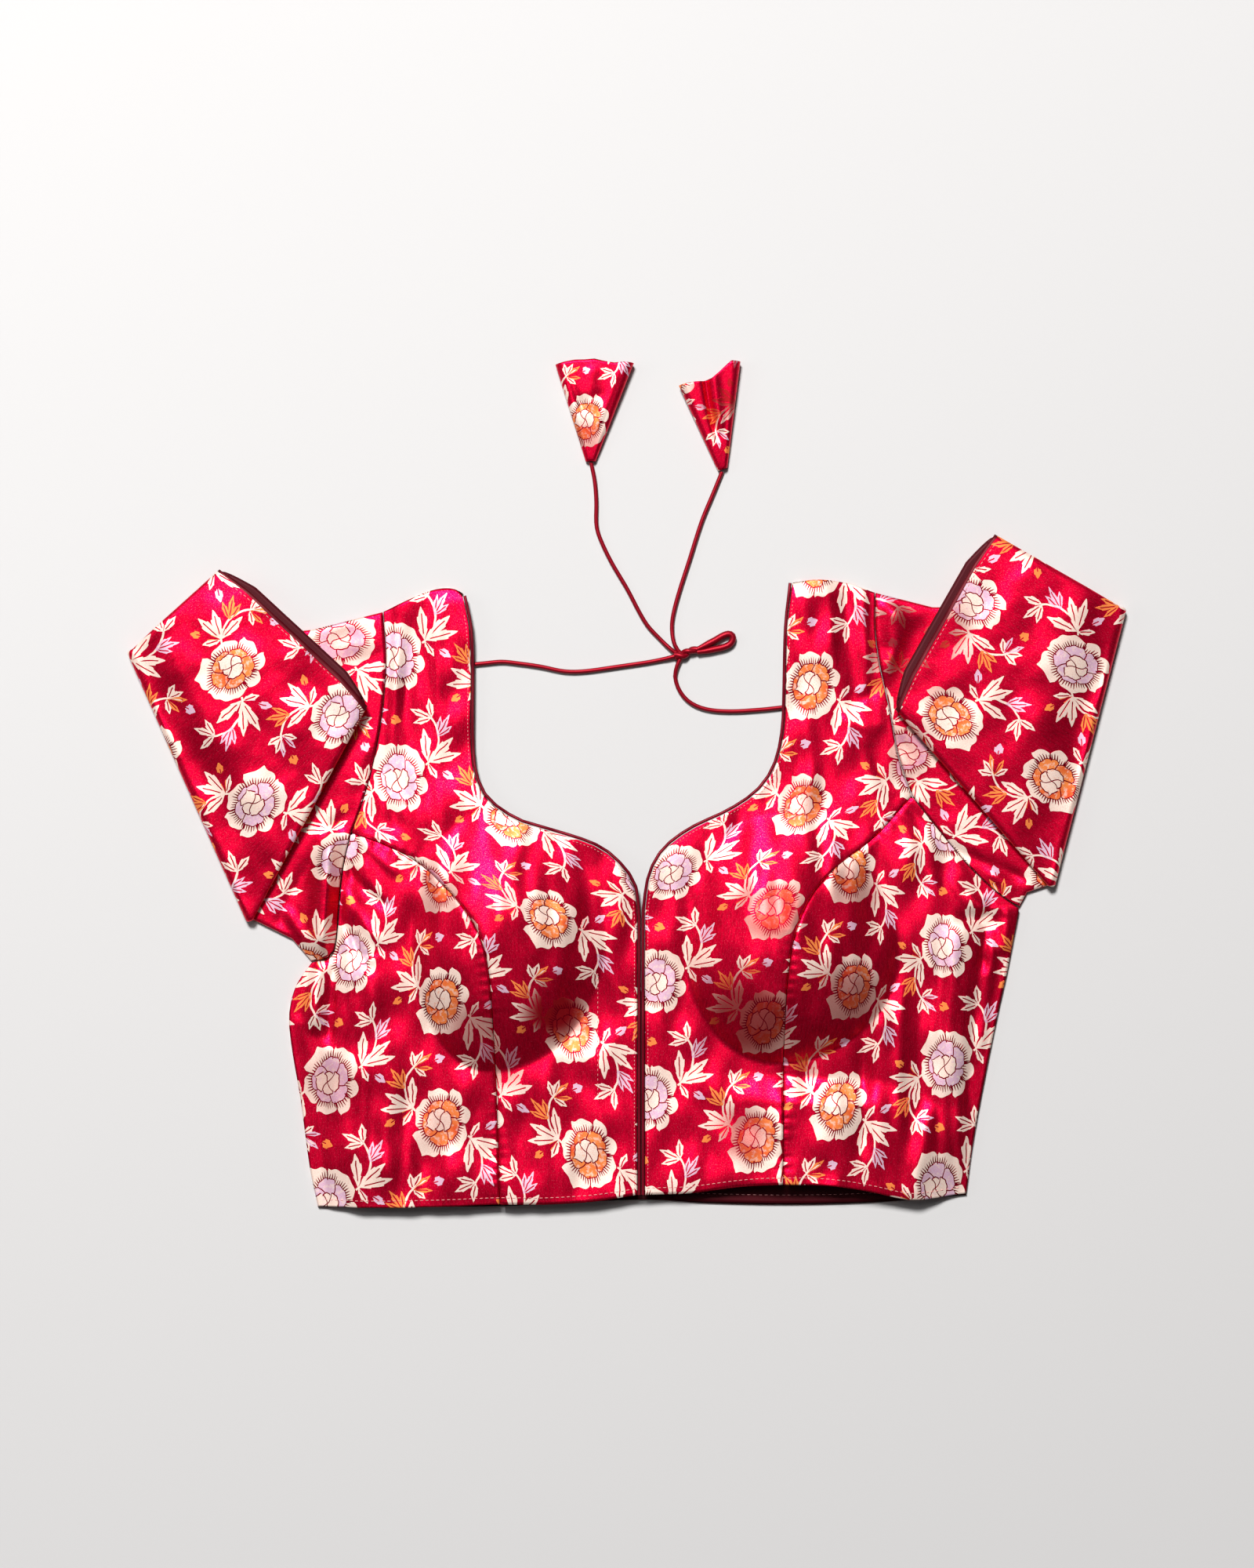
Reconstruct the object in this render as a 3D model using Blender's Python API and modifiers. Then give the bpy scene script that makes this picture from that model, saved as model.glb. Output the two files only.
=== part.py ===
"""Backless sari blouse laid on its back: padded front, tie cords with fabric cones, sleeves folded over.

Garment coordinates are in millimetres: across from the front opening (+ to the right as seen),
up from the waist hem, and height above the surface that the blouse lies on.
"""

import math
from collections import namedtuple

import bpy
from mathutils import Vector
from mathutils.geometry import interpolate_bezier

MM = 0.001

# Cloth and sewing
WALL = 1.3  # lined brocade
BACK_WALL = 1.2
SLEEVE_WALL = 1.2
FACING_WALL = 1.0
SEAM_GAP = 0.3  # between neighbouring pieces
ARMHOLE_SLACK = 0.3  # more room there, because a sleeve's facets cut the curve short
UNDERARM_LIFT = 1.0  # keeps a sleeve's rounded edge off the side seam's corner
PIPING_RADIUS = 1.0
FACING_DEPTH = 22.0

# How the front lies over the back
ARMHOLE_HEIGHT = 3.8  # top of the front where it meets a sleeve
SIDE_HEIGHT = 2.9  # and at its side seams, where it comes down onto the back
BODY_PUFF = 3.2  # what the front stands above that inside
STRAP_PUFF = 1.2
SIDE_ROLL = 34.0  # width over which the front turns down to a side seam
SHOULDER_ROLL = 9.0
LOWEST_FRONT = 2.9
BACK_NECK_INSET = 4.5  # the back's straps are narrower than the front's

# Sleeves, flattened and folded over themselves
SLEEVE_HALF = 1.9  # half the thickness of a flattened sleeve
FOLD_GAP = 1.2  # between the two runs of a folded sleeve
FOLD_RADIUS = SLEEVE_HALF + FOLD_GAP / 2
FLAP_PUFF = 3.4
HEM_BAND = 7.0  # how far the lower layer shows beyond the upper at a sleeve hem
LEAD_TAPER = 13.0  # distance from a sleeve's side within which that dies away

# Tie cords and their cones
CORD_RADIUS = 1.3
LOOP_RADIUS = 1.6
CORD_STEP = 6.2  # distance between points on a cord's tube
CONE_WALL = 1.0
CONE_TIP_HALF = 2.1
CONE_TIP_WIDTH = 6.2
CONE_MOUTH_HALF = 4.4
CONE_STEPS = 4

At = namedtuple("At", "across up")
Cup = namedtuple("Cup", "across up height left right down above")
Fold = namedtuple("Fold", "across up to_across to_up bow height width")
Sleeve = namedtuple("Sleeve", "armhole cap_top cap_under fold_top fold_under hem_top hem_under out")

# Finished edges of the front: opening and neck, from the hem up to the shoulder
FRONT_EDGE = {
    "left": [
        At(-0.2, 9), At(-0.2, 90), At(-0.2, 176), At(-0.4, 185), At(-3, 203), At(-14, 218), At(-28, 228), At(-58, 238),
        At(-77, 244), At(-95, 257), At(-102, 272), At(-104, 292), At(-104, 338), At(-105, 363), At(-109, 382),
    ],
    "right": [
        At(0.2, 9), At(0.2, 90), At(0.2, 178), At(0.4, 187), At(4, 209), At(13, 225), At(30, 238), At(55, 250),
        At(72, 262), At(82, 277), At(87, 299), At(88, 323), At(89, 363), At(92, 390),
    ],
}
# Seam over the cup, from the hem to the armhole
PRINCESS = {
    "left": [
        At(-88, 3), At(-90, 69), At(-92, 118), At(-94, 147), At(-98, 166), At(-107, 184), At(-122, 201),
        At(-141, 217), At(-161, 227), At(-181, 234),
    ],
    "right": [
        At(88, 16), At(89, 118), At(91, 152), At(96, 176), At(105, 195), At(121, 213),
        At(144, 230), At(169, 257),
    ],
}
# Armhole above the princess seam, and below it down to the side seam
ARMHOLE_OVER = {
    "left": [At(-181, 234), At(-175, 250), At(-169, 270), At(-164, 293), At(-161, 314), At(-159, 343), At(-161, 372)],
    "right": [At(169, 257), At(161, 280), At(155, 311), At(149, 338), At(146, 360), At(146, 384)],
}
ARMHOLE_UNDER = {
    "left": [At(-206, 153), At(-199, 179), At(-189, 210), At(-181, 234)],
    "right": [At(236, 187), At(222, 197), At(206, 212), At(188, 233), At(169, 257)],
}
SIDE = {
    "left": [At(-202, 1), At(-207, 25), At(-213, 69), At(-218, 98), At(-220, 120), At(-216, 138), At(-206, 153)],
    "right": [At(203, 9), At(207, 39), At(214, 78), At(224, 127), At(229, 149), At(233, 171), At(236, 187)],
}
# Front hem from the opening outwards, as far as the princess seam and then the side seam
HEM_CENTRE = {
    "left": [At(-0.2, 9), At(-28, 5), At(-58, 3), At(-88, 3)],
    "right": [At(0.2, 9), At(30, 10), At(60, 14), At(88, 16)],
}
HEM_SIDE = {
    "left": [At(-88, 3), At(-146, 1), At(-202, 1)],
    "right": [At(88, 16), At(119, 15), At(143, 11), At(168, 6), At(203, 9)],
}
SHOULDER = {
    "left": [At(-109, 382), At(-116, 386), At(-128, 386), At(-144, 380), At(-161, 372)],
    "right": [At(92, 390), At(109, 392), At(128, 390), At(146, 384)],
}
BACK_HEM = [At(203, 8), At(170, 5), At(138, 3), At(89, 2), At(40, 3), At(0, 5), At(-87, 1), At(-202, 0.5)]
BACK_NECK_LOW = [At(-106, 250), At(-92, 190), At(-60, 150), At(-5, 135), At(50, 150), At(80, 190), At(92, 250)]

# Padded cups, with the dent that the left one has
CUPS = [
    Cup(94, 150, 25, 66, 64, 58, 96),
    Cup(-84, 164, 19, 58, 62, 66, 84),
    Cup(-40, 121, -5, 30, 30, 28, 34),
]
# Largest folds: a positive height is a ridge, a negative one a trough
FOLDS = [
    Fold(-189, 206, -190, 122, -3, -4.5, 5),  # deep tuck below the left armhole
    Fold(-180, 222, -168, 116, 0, 3.0, 8),
    Fold(-205, 158, -213, 112, 2, 2.4, 6),
    Fold(-157, 112, -159, 14, 0, 2.2, 9),
    Fold(-134, 124, -137, 10, 2, -2.0, 8),
    Fold(-113, 108, -115, 14, 0, 1.8, 9),
    Fold(-58, 92, -64, 10, 0, 1.4, 10),
    Fold(105, 8, 108, 74, 0, 7.0, 46),  # hem lifted clear of the back
    Fold(169, 4, 178, 60, 0, 2.4, 7),
    Fold(152, 124, 149, 30, 0, 2.0, 9),
    Fold(175, 150, 176, 60, 0, -2.2, 8),
    Fold(196, 168, 192, 26, 2, 2.2, 9),
    Fold(212, 160, 205, 70, 0, -1.8, 6),
    Fold(198, 181, 233, 180, 0, -2.4, 5),
    Fold(127, 384, 133, 312, 0, -1.5, 5),
    Fold(-140, 372, -150, 300, 0, -1.2, 6),
]

SLEEVES = {
    "left": Sleeve("left", At(-205, 361), At(-218, 168), At(-321, 347), At(-246, 178), At(-262, 398),
                   At(-170, 313), At(-0.914, -0.405)),
    "right": Sleeve("right", At(182, 375), At(241, 197), At(303, 374), At(258, 200), At(220, 420),
                    At(158, 311), At(0.967, -0.252)),
}

# Tie cords, each along its own route on the surface
CORDS = {
    "dori_left": [
        At(-108.1, 339), At(-98, 340), At(-87, 341), At(-77, 340), At(-63, 338), At(-48, 335), At(-36, 335),
        At(-14, 338), At(6, 341), At(20.4, 344.0),
    ],
    "dori_right": [
        At(91.8, 313), At(84, 312), At(74, 311), At(55, 310), At(40, 311.5), At(30, 316), At(24, 323),
        At(21.5, 331), At(22.7, 336.5), At(24.9, 342.1),
    ],
    "dori_tail_left": [
        At(21.6, 347.2), At(12, 355), At(3, 365), At(-9, 387), At(-19, 404), At(-26, 419), At(-28, 427),
        At(-28, 441), At(-29, 454), At(-31.3, 465.5),
    ],
    "dori_tail_right": [
        At(24.5, 348.9), At(20.5, 357), At(19.5, 367), At(23, 382), At(30, 404), At(38, 429), At(45, 446),
        At(50.55, 459.6),
    ],
    "dori_bow_loop": [
        At(33.8, 350.0), At(41.5, 353.2), At(47, 356.2), At(52.4, 359), At(56.2, 359.6), At(58.3, 356.7),
        At(56.6, 353.2), At(51.8, 350.2), At(45.3, 348.2), At(39.6, 346.9), At(34.9, 346.1),
    ],
}
KNOT = At(27.4, 346.2)
KNOT_SIZE = (14.4, 6.2, 5.2)
KNOT_TURN = 15.0  # degrees, towards the bow
KNOT_RISE = 0.9  # how far the cords climb as they enter the knot

Cone = namedtuple("Cone", "tip mouth_left mouth_right")
CONES = {
    "latkan_left": Cone(At(-31.5, 466), At(-53.5, 526), At(-4.5, 527)),
    "latkan_right": Cone(At(51, 461), At(23.5, 513), At(62, 528)),
}

CRIMSON = (0.55, 0.008, 0.075)
MAROON = (0.13, 0.002, 0.014)
DARK_RED = (0.17, 0.004, 0.016)


def ease(value, start, end):
    """0 before start, 1 after end, smooth between."""
    share = min(max((value - start) / (end - start), 0.0), 1.0)
    return share * share * (3 - 2 * share)


def mix(a, b, share):
    return a + (b - a) * share


def smooth_line(points, per_span=10):
    """Points along one smooth curve through those given."""
    stops = [Vector(point) for point in points]
    line = []
    for i in range(len(stops) - 1):
        before, a, b, after = stops[max(i - 1, 0)], stops[i], stops[i + 1], stops[min(i + 2, len(stops) - 1)]
        span = (b - a).length
        lead = (b - before).normalized() * span / 3
        trail = (after - a).normalized() * span / 3
        line += interpolate_bezier(a, a + lead, b - trail, b, per_span + 1)[:-1]
    return line + [stops[-1]]


def evenly(line, count):
    """That many points at even distances along the line."""
    lengths = [0.0]
    for a, b in zip(line, line[1:]):
        lengths.append(lengths[-1] + (b - a).length)
    found, i = [], 0
    for k in range(count):
        target = lengths[-1] * k / (count - 1)
        while i < len(line) - 2 and lengths[i + 1] < target:
            i += 1
        span = lengths[i + 1] - lengths[i]
        found.append(line[i].lerp(line[i + 1], (target - lengths[i]) / span if span else 0.0))
    return found


def shifted(line, distance):
    """The line moved sideways, to its left as it runs for a positive distance."""
    moved = []
    for i, point in enumerate(line):
        run = (line[min(i + 1, len(line) - 1)] - line[max(i - 1, 0)]).normalized()
        moved.append(point + Vector((-run.y, run.x)) * distance)
    return moved


def flat(points):
    return [Vector((point.across, point.up)) for point in points]


def between(start, points, end):
    """Smooth line through the points, with its own first and last ones."""
    return smooth_line([start] + flat(points[1:-1]) + [end])


def across_at(points, up):
    """Where an edge, listed upwards, stands at this height."""
    if up <= points[0].up:
        return points[0].across
    for a, b in zip(points, points[1:]):
        if up <= b.up:
            return mix(a.across, b.across, (up - a.up) / (b.up - a.up))
    return points[-1].across


def armhole_line(side):
    """The whole armhole, from the side seam up to the shoulder."""
    return smooth_line(flat(ARMHOLE_UNDER[side])) + smooth_line(flat(ARMHOLE_OVER[side]))[1:]


OUTER = {side: SIDE[side] + ARMHOLE_UNDER[side][1:] + ARMHOLE_OVER[side][1:] for side in ("left", "right")}


def dome(cup, x, y):
    across = (x - cup.across) / (cup.left if x < cup.across else cup.right)
    along = (y - cup.up) / (cup.down if y < cup.up else cup.above)
    return cup.height * max(1 - across * across - along * along, 0.0) ** 1.5


def crease(fold, x, y):
    run = Vector((fold.to_across - fold.across, fold.to_up - fold.up))
    away = Vector((x - fold.across, y - fold.up))
    share = away.dot(run) / run.length_squared
    beside = away.cross(run) / run.length - fold.bow * 4 * share * (1 - share)
    ends = ease(share, -0.14, 0.14) * (1 - ease(share, 0.86, 1.14))
    return fold.height * ends * math.exp(-((beside / fold.width) ** 2))


def front_height(x, y):
    """Height of the front's outer face."""
    inside = min(x - across_at(OUTER["left"], y), across_at(OUTER["right"], y) - x)
    shoulder = 386 if x < 0 else 391
    puff = BODY_PUFF * (1 - ease(y, 215, 300)) + STRAP_PUFF * ease(shoulder - y, 0, SHOULDER_ROLL)
    seam_height = mix(SIDE_HEIGHT, ARMHOLE_HEIGHT, ease(y, 150, 178))
    height = seam_height + (puff + ARMHOLE_HEIGHT - seam_height) * ease(inside, 0, SIDE_ROLL)
    height += sum(dome(cup, x, y) for cup in CUPS)
    height += ease(inside, 0, 14) * sum(crease(fold, x, y) for fold in FOLDS)
    return max(height, LOWEST_FRONT)


def material(name, colour, roughness, metallic=0.0):
    made = bpy.data.materials.new(name)
    made.use_nodes = True
    shader = made.node_tree.nodes["Principled BSDF"]
    shader.inputs["Base Color"].default_value = (*colour, 1)
    shader.inputs["Roughness"].default_value = roughness
    shader.inputs["Metallic"].default_value = metallic
    return made


def finish(obj, colour, roughness):
    obj.data.materials.append(material(obj.name, colour, roughness))
    obj.parent = blouse_origin
    return obj


def grid_object(name, rows, colour=CRIMSON, roughness=0.35, wall=WALL, side=-1):
    """Open sheet through rows of points in millimetres, given a wall by Solidify."""
    columns = len(rows[0])
    points = [Vector(point) * MM for row in rows for point in row]
    faces = []
    for i in range(len(rows) - 1):
        for j in range(columns - 1):
            a = i * columns + j
            faces.append((a, a + 1, a + columns + 1, a + columns))
    return sheet_object(name, points, faces, colour, roughness, wall, side)


def sheet_object(name, points, faces, colour, roughness, wall, side):
    mesh = bpy.data.meshes.new(name)
    mesh.from_pydata(points, [], faces)
    obj = bpy.data.objects.new(name, mesh)
    parts.objects.link(obj)
    solidify = obj.modifiers.new("wall", "SOLIDIFY")
    solidify.thickness = wall * MM
    solidify.offset = side
    return finish(obj, colour, roughness)


def tube_object(name, points, radius, colour, roughness):
    """Round cord through points in millimetres."""
    curve = bpy.data.curves.new(name, "CURVE")
    curve.dimensions = "3D"
    curve.bevel_depth = radius * MM
    curve.bevel_resolution = 2
    curve.use_fill_caps = True
    spline = curve.splines.new("POLY")
    spline.points.add(len(points) - 1)
    for spot, point in zip(spline.points, points):
        spot.co = (*(Vector(point) * MM), 1)
    obj = bpy.data.objects.new(name, curve)
    parts.objects.link(obj)
    return finish(obj, colour, roughness)


def panel_rows(outer, inner, hem, top, columns):
    """Rows from the outer line across to the inner one, bent to the hem and the top edge."""
    hem_line, top_line = evenly(hem, columns), evenly(top, columns)
    rows = []
    for i, (a, b) in enumerate(zip(outer, inner)):
        share = i / (len(outer) - 1)
        row = []
        for j in range(columns):
            along = j / (columns - 1)
            spot = a.lerp(b, along)
            spot += (hem_line[j] - outer[0].lerp(inner[0], along)) * (1 - share) ** 4
            spot += (top_line[j] - outer[-1].lerp(inner[-1], along)) * share ** 6
            row.append((spot.x, spot.y, front_height(spot.x, spot.y)))
        rows.append(row if outer[0].x < inner[0].x else row[::-1])
    return rows


PRINCESS_ROWS = 30
SIDE_ROWS = 19  # of those, the rows that end at the side seam
ARMHOLE_ROWS = 17
CENTRE_COLUMNS = 17
SIDE_COLUMNS = 16


def front_panels(side):
    hand = 1 if side == "left" else -1
    half_gap = SEAM_GAP / 2
    princess = evenly(smooth_line(flat(PRINCESS[side])), PRINCESS_ROWS)
    armhole = evenly(smooth_line(flat(ARMHOLE_OVER[side])), ARMHOLE_ROWS)
    edge = evenly(smooth_line(flat(FRONT_EDGE[side])), PRINCESS_ROWS + ARMHOLE_ROWS - 1)

    seam = shifted(princess + armhole[1:], -hand * half_gap)
    piped = shifted(edge, hand * (2 * PIPING_RADIUS + SEAM_GAP))
    hem = between(seam[0], HEM_CENTRE[side][::-1], piped[0])
    top = between(seam[-1], SHOULDER[side][::-1], piped[-1])
    grid_object(f"front_centre_{side}", panel_rows(seam, piped, hem, top, CENTRE_COLUMNS))

    border = evenly(smooth_line(flat(SIDE[side])), SIDE_ROWS)
    border += evenly(smooth_line(flat(ARMHOLE_UNDER[side])), PRINCESS_ROWS - SIDE_ROWS + 1)[1:]
    border = shifted(border, -hand * half_gap)
    inner = shifted(princess, hand * half_gap)
    hem = between(border[0], HEM_SIDE[side][::-1], inner[0])
    # The panel runs to a point at the armhole, so its last rows stop short of it.
    last = PRINCESS_ROWS - 2
    rows = panel_rows(border[:last], inner[:last], hem, [border[last - 1], inner[last - 1]], SIDE_COLUMNS)
    grid_object(f"front_side_{side}", rows)

    pipe = shifted(edge, hand * PIPING_RADIUS)
    route = [(spot.x, spot.y, front_height(spot.x, spot.y) - WALL / 2) for spot in pipe]
    tube_object(f"neck_piping_{side}", route, PIPING_RADIUS, MAROON, 0.45)


def back_panel():
    outline = []
    outline += evenly(smooth_line(flat(BACK_HEM)), 24)
    for side in ("left", "right"):
        hand = 1 if side == "left" else -1
        outer = evenly(smooth_line(flat(SIDE[side])), 14)
        outer += evenly(armhole_line(side), 26)[1:]
        outer = shifted(outer, -hand * SEAM_GAP / 2)[1:]
        top = evenly(smooth_line(flat(SHOULDER[side][::-1])), 6)[1:-1]
        neck = [spot for spot in smooth_line(flat(FRONT_EDGE[side])) if spot.y > 285]
        neck = shifted(evenly(neck, 10), hand * BACK_NECK_INSET)[::-1]
        border = outer + top + neck
        if side == "left":
            low = smooth_line([neck[-1]] + flat(BACK_NECK_LOW) + [Vector((93, 285))], 4)
            outline += border + low[1:-1]
        else:
            outline += border[::-1]
    curve = bpy.data.curves.new("back", "CURVE")
    curve.dimensions = "2D"
    curve.fill_mode = "BOTH"
    curve.extrude = BACK_WALL / 2 * MM
    spline = curve.splines.new("POLY")
    spline.use_cyclic_u = True
    spline.points.add(len(outline) - 1)
    for spot, point in zip(spline.points, outline):
        spot.co = (point.x * MM, point.y * MM, 0, 1)
    obj = bpy.data.objects.new("back", curve)
    obj.location.z = BACK_WALL / 2 * MM
    parts.objects.link(obj)
    finish(obj, CRIMSON, 0.35)


def back_hem_facing():
    """Turned-up facing inside the back hem, where the lifted front shows it."""
    low = evenly([spot for spot in smooth_line(flat(BACK_HEM[::-1])) if 20 < spot.x < 174], 16)
    rows = []
    for k in range(3):
        rise = 0.8 + (FACING_DEPTH - 0.8) * k / 2
        rows.append([(spot.x, spot.y + rise, BACK_WALL + SEAM_GAP) for spot in low])
    grid_object("back_hem_facing", rows, MAROON, 0.45, FACING_WALL, 1)


Section = namedtuple("Section", "start end normal over under bow lead")
ACROSS_STEPS = 12


def lead_at(distance, width):
    """Share of a layer's lead over the other; they join at the sides, so neither leads there."""
    return ease(min(distance, width - distance), SLEEVE_HALF, LEAD_TAPER)


def ring_of(section, half, count=ACROSS_STEPS):
    """Points round a flattened tube: along its upper wall, round an end, back along the lower wall."""
    run = section.end - section.start
    width, across = run.length, run.normalized()

    def spot(distance, out):
        share = distance / width
        base = section.start + across * distance + section.bow(share)
        return base + section.normal * out + section.lead * lead_at(distance, width) * ease(out, -half, half)

    steps = [half + (width - 2 * half) * k / count for k in range(count + 1)]
    ring = [spot(step, section.over(step / width)) for step in steps]
    for turn in (45, 0, -45):
        angle = math.radians(turn)
        ring.append(spot(width - half + half * math.cos(angle), half * math.sin(angle)))
    ring += [spot(step, -section.under(step / width)) for step in reversed(steps)]
    for turn in (-135, 180, 135):
        angle = math.radians(turn)
        ring.append(spot(half + half * math.cos(angle), half * math.sin(angle)))
    return ring


def tube_sheet(name, rings, colour, roughness, wall):
    """Open tube through rings of points, outside faces out, with its wall inwards."""
    count = len(rings[0])
    points = [point * MM for ring in rings for point in ring]
    faces = []
    for i in range(len(rings) - 1):
        for j in range(count):
            a, b = i * count + j, i * count + (j + 1) % count
            faces.append((a, a + count, b + count, b))
    first = [points[k] for k in faces[0]]
    turned = (first[1] - first[0]).cross(first[2] - first[0]).dot(first[0] - sum(points[:count], Vector()) / count)
    if turned < 0:
        faces = [face[::-1] for face in faces]
    return sheet_object(name, points, faces, colour, roughness, wall, -1)


def tall(point, height):
    return Vector((point[0], point[1], height))


def sleeve_plan(side):
    """The lines that a sleeve's sections follow: armhole, cap, fold and hem."""
    cut = SLEEVES[side]
    out = Vector((cut.out.across, cut.out.up))
    inset = out * (FOLD_RADIUS + SLEEVE_HALF)
    fold = [Vector(cut.fold_top) - inset, Vector(cut.fold_under) - inset]
    hem = [Vector(cut.hem_top), Vector(cut.hem_under)]
    armhole = armhole_line(side)
    hand = 1 if side == "left" else -1
    armhole = shifted(armhole[::-1], -hand * (SEAM_GAP / 2 + ARMHOLE_SLACK))
    armhole[-1] = armhole[-1] + Vector((0, UNDERARM_LIFT))
    return cut, out, fold, hem, armhole


def flat_half(share):
    return SLEEVE_HALF


def straight(share):
    return Vector()


def sleeve_sections(side):
    cut, out, fold, hem, armhole = sleeve_plan(side)
    fine = evenly(armhole, 41)
    outward = Vector((out.x, out.y, 0))
    rise = Vector((0, 0, 1))

    def bowed(strength):
        def bow(share):
            k = min(max(share, 0.0), 1.0) * (len(fine) - 1)
            low = min(int(k), len(fine) - 2)
            spot = fine[low].lerp(fine[low + 1], k - low) - fine[0].lerp(fine[-1], share)
            return tall(spot, 0) * strength
        return bow

    sections = []
    lines = [
        (0.0, armhole[0], armhole[-1], 1.0),
        (0.35, Vector(cut.cap_top), Vector(cut.cap_under), 0.55),
        (1.0, fold[0], fold[1], 0.0),
    ]
    for share in (0.0, 0.17, 0.35, 0.57, 0.8, 1.0):
        first = 0 if share <= 0.35 else 1
        (s0, a0, b0, w0), (s1, a1, b1, w1) = lines[first], lines[first + 1]
        k = (share - s0) / (s1 - s0)
        sections.append(Section(tall(a0.lerp(a1, k), SLEEVE_HALF), tall(b0.lerp(b1, k), SLEEVE_HALF), rise,
                                flat_half, flat_half, bowed(mix(w0, w1, k)), Vector()))
    for turn in (36, 72, 108, 144):
        angle = math.radians(turn)
        move = outward * math.sin(angle) * FOLD_RADIUS - rise * math.cos(angle) * FOLD_RADIUS
        height = SLEEVE_HALF + FOLD_RADIUS
        normal = rise * math.cos(angle) - outward * math.sin(angle)
        sections.append(Section(tall(fold[0], height) + move, tall(fold[1], height) + move, normal,
                                flat_half, flat_half, straight, Vector()))
    for share in (0.0, 0.12, 0.3, 0.52, 0.72, 0.87, 1.0):
        sections.append(flap_section(share, fold, hem))
    return sections


def hem_direction(fold, hem):
    """Unit vector away from the fold, square to the sleeve hem."""
    run = (hem[1] - hem[0]).normalized()
    square = Vector((-run.y, run.x))
    middle = (hem[0] + hem[1] - fold[0] - fold[1]) / 2
    return tall(square if square.dot(middle) > 0 else -square, 0)


def flap_puff(along, share):
    return FLAP_PUFF * ease(along, -0.05, 0.4) * max(math.sin(math.pi * share), 0.0) ** 0.7


def flap_section(along, fold, hem):
    height = SLEEVE_HALF + 2 * FOLD_RADIUS

    def under(share):
        return SLEEVE_HALF + flap_puff(along, share)

    lead = hem_direction(fold, hem) * HEM_BAND * ease(along, 0.6, 1.0)
    return Section(tall(fold[0].lerp(hem[0], along), height), tall(fold[1].lerp(hem[1], along), height),
                   Vector((0, 0, -1)), flat_half, under, straight, lead)


def sleeve(side):
    rings = [ring_of(section, SLEEVE_HALF) for section in sleeve_sections(side)]
    tube_sheet(f"sleeve_{side}", rings, CRIMSON, 0.35, SLEEVE_WALL)

    # Facing inside the hem, on the layer that shows beyond the other
    fold, hem = sleeve_plan(side)[2:4]
    toward = hem_direction(fold, hem)
    width = (hem[1] - hem[0]).length
    height = 2 * FOLD_RADIUS + SLEEVE_WALL + SEAM_GAP
    rows = []
    for k in range(4):
        row = []
        for j in range(12):
            share = 0.05 + 0.9 * j / 11
            reach = HEM_BAND * lead_at(share * width, width) - 0.6 - FACING_DEPTH * (3 - k) / 3
            row.append(tall(hem[0].lerp(hem[1], share), height) + toward * reach)
        rows.append(row)
    if side == "right":
        rows = [row[::-1] for row in rows]
    grid_object(f"sleeve_hem_facing_{side}", rows, MAROON, 0.45, FACING_WALL, 1)


def cone(name, cut):
    """Flattened fabric cone, open at its wide end, with the cord's way in at its tip."""
    tip = Vector(cut.tip)
    mouth = [Vector(cut.mouth_left), Vector(cut.mouth_right)]
    across = (mouth[1] - mouth[0]).normalized()
    narrow = [tip - across * CONE_TIP_WIDTH / 2, tip + across * CONE_TIP_WIDTH / 2]
    rings = []
    for share in (0.0, 0.12, 0.3, 0.5, 0.7, 0.88, 1.0):
        half = mix(CONE_TIP_HALF, CONE_MOUTH_HALF, share ** 0.7)

        def even(step, half=half):
            return half

        a, b = narrow[0].lerp(mouth[0], share), narrow[1].lerp(mouth[1], share)
        section = Section(tall(a, half), tall(b, half), Vector((0, 0, 1)), even, even, straight, Vector())
        rings.append(ring_of(section, half, CONE_STEPS))
    tube_sheet(name, rings, CRIMSON, 0.35, CONE_WALL)


def cords():
    knot_centre = Vector(KNOT)
    for name, stops in CORDS.items():
        radius = LOOP_RADIUS if name == "dori_bow_loop" else CORD_RADIUS
        line = []
        for spot in smooth_line(flat(stops)):
            rise = KNOT_RISE * (1 - ease((spot - knot_centre).length, 8, 18))
            line.append(tall(spot, radius + 0.05 + rise))
        length = sum((b - a).length for a, b in zip(line, line[1:]))
        tube_object(name, evenly(line, round(length / CORD_STEP) + 1), radius, DARK_RED, 0.5)
    bpy.ops.mesh.primitive_uv_sphere_add(segments=14, ring_count=8, radius=0.5 * MM)
    knot = bpy.context.object
    knot.name = "dori_knot"
    knot.scale = KNOT_SIZE
    knot.rotation_euler.z = math.radians(KNOT_TURN)
    knot.location = (KNOT.across * MM, KNOT.up * MM, (KNOT_SIZE[2] / 2 + 0.1) * MM)
    for collection in list(knot.users_collection):
        collection.objects.unlink(knot)
    parts.objects.link(knot)
    finish(knot, DARK_RED, 0.5)


def centre_on_footprint(left_out):
    """Moves the blouse so that the middle of its footprint, without its cords, is the origin."""
    bpy.context.view_layer.update()
    graph = bpy.context.evaluated_depsgraph_get()
    corners = []
    for obj in parts.objects:
        if obj.type == "EMPTY" or obj.name in left_out:
            continue
        seen = obj.evaluated_get(graph)
        mesh = seen.to_mesh()
        corners += [seen.matrix_world @ vertex.co for vertex in mesh.vertices]
        seen.to_mesh_clear()
    for axis in (0, 1):
        values = [corner[axis] for corner in corners]
        blouse_origin.location[axis] = -(min(values) + max(values)) / 2


for leftover in list(bpy.data.objects):
    bpy.data.objects.remove(leftover)
parts = bpy.data.collections.new("backless_blouse")
bpy.context.scene.collection.children.link(parts)
blouse_origin = bpy.data.objects.new("blouse_origin", None)
parts.objects.link(blouse_origin)

back_panel()
back_hem_facing()
for hand_side in ("left", "right"):
    front_panels(hand_side)
    sleeve(hand_side)
cords()
for cone_name, cone_cut in CONES.items():
    cone(cone_name, cone_cut)
centre_on_footprint([*CORDS, *CONES, "dori_knot"])
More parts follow.
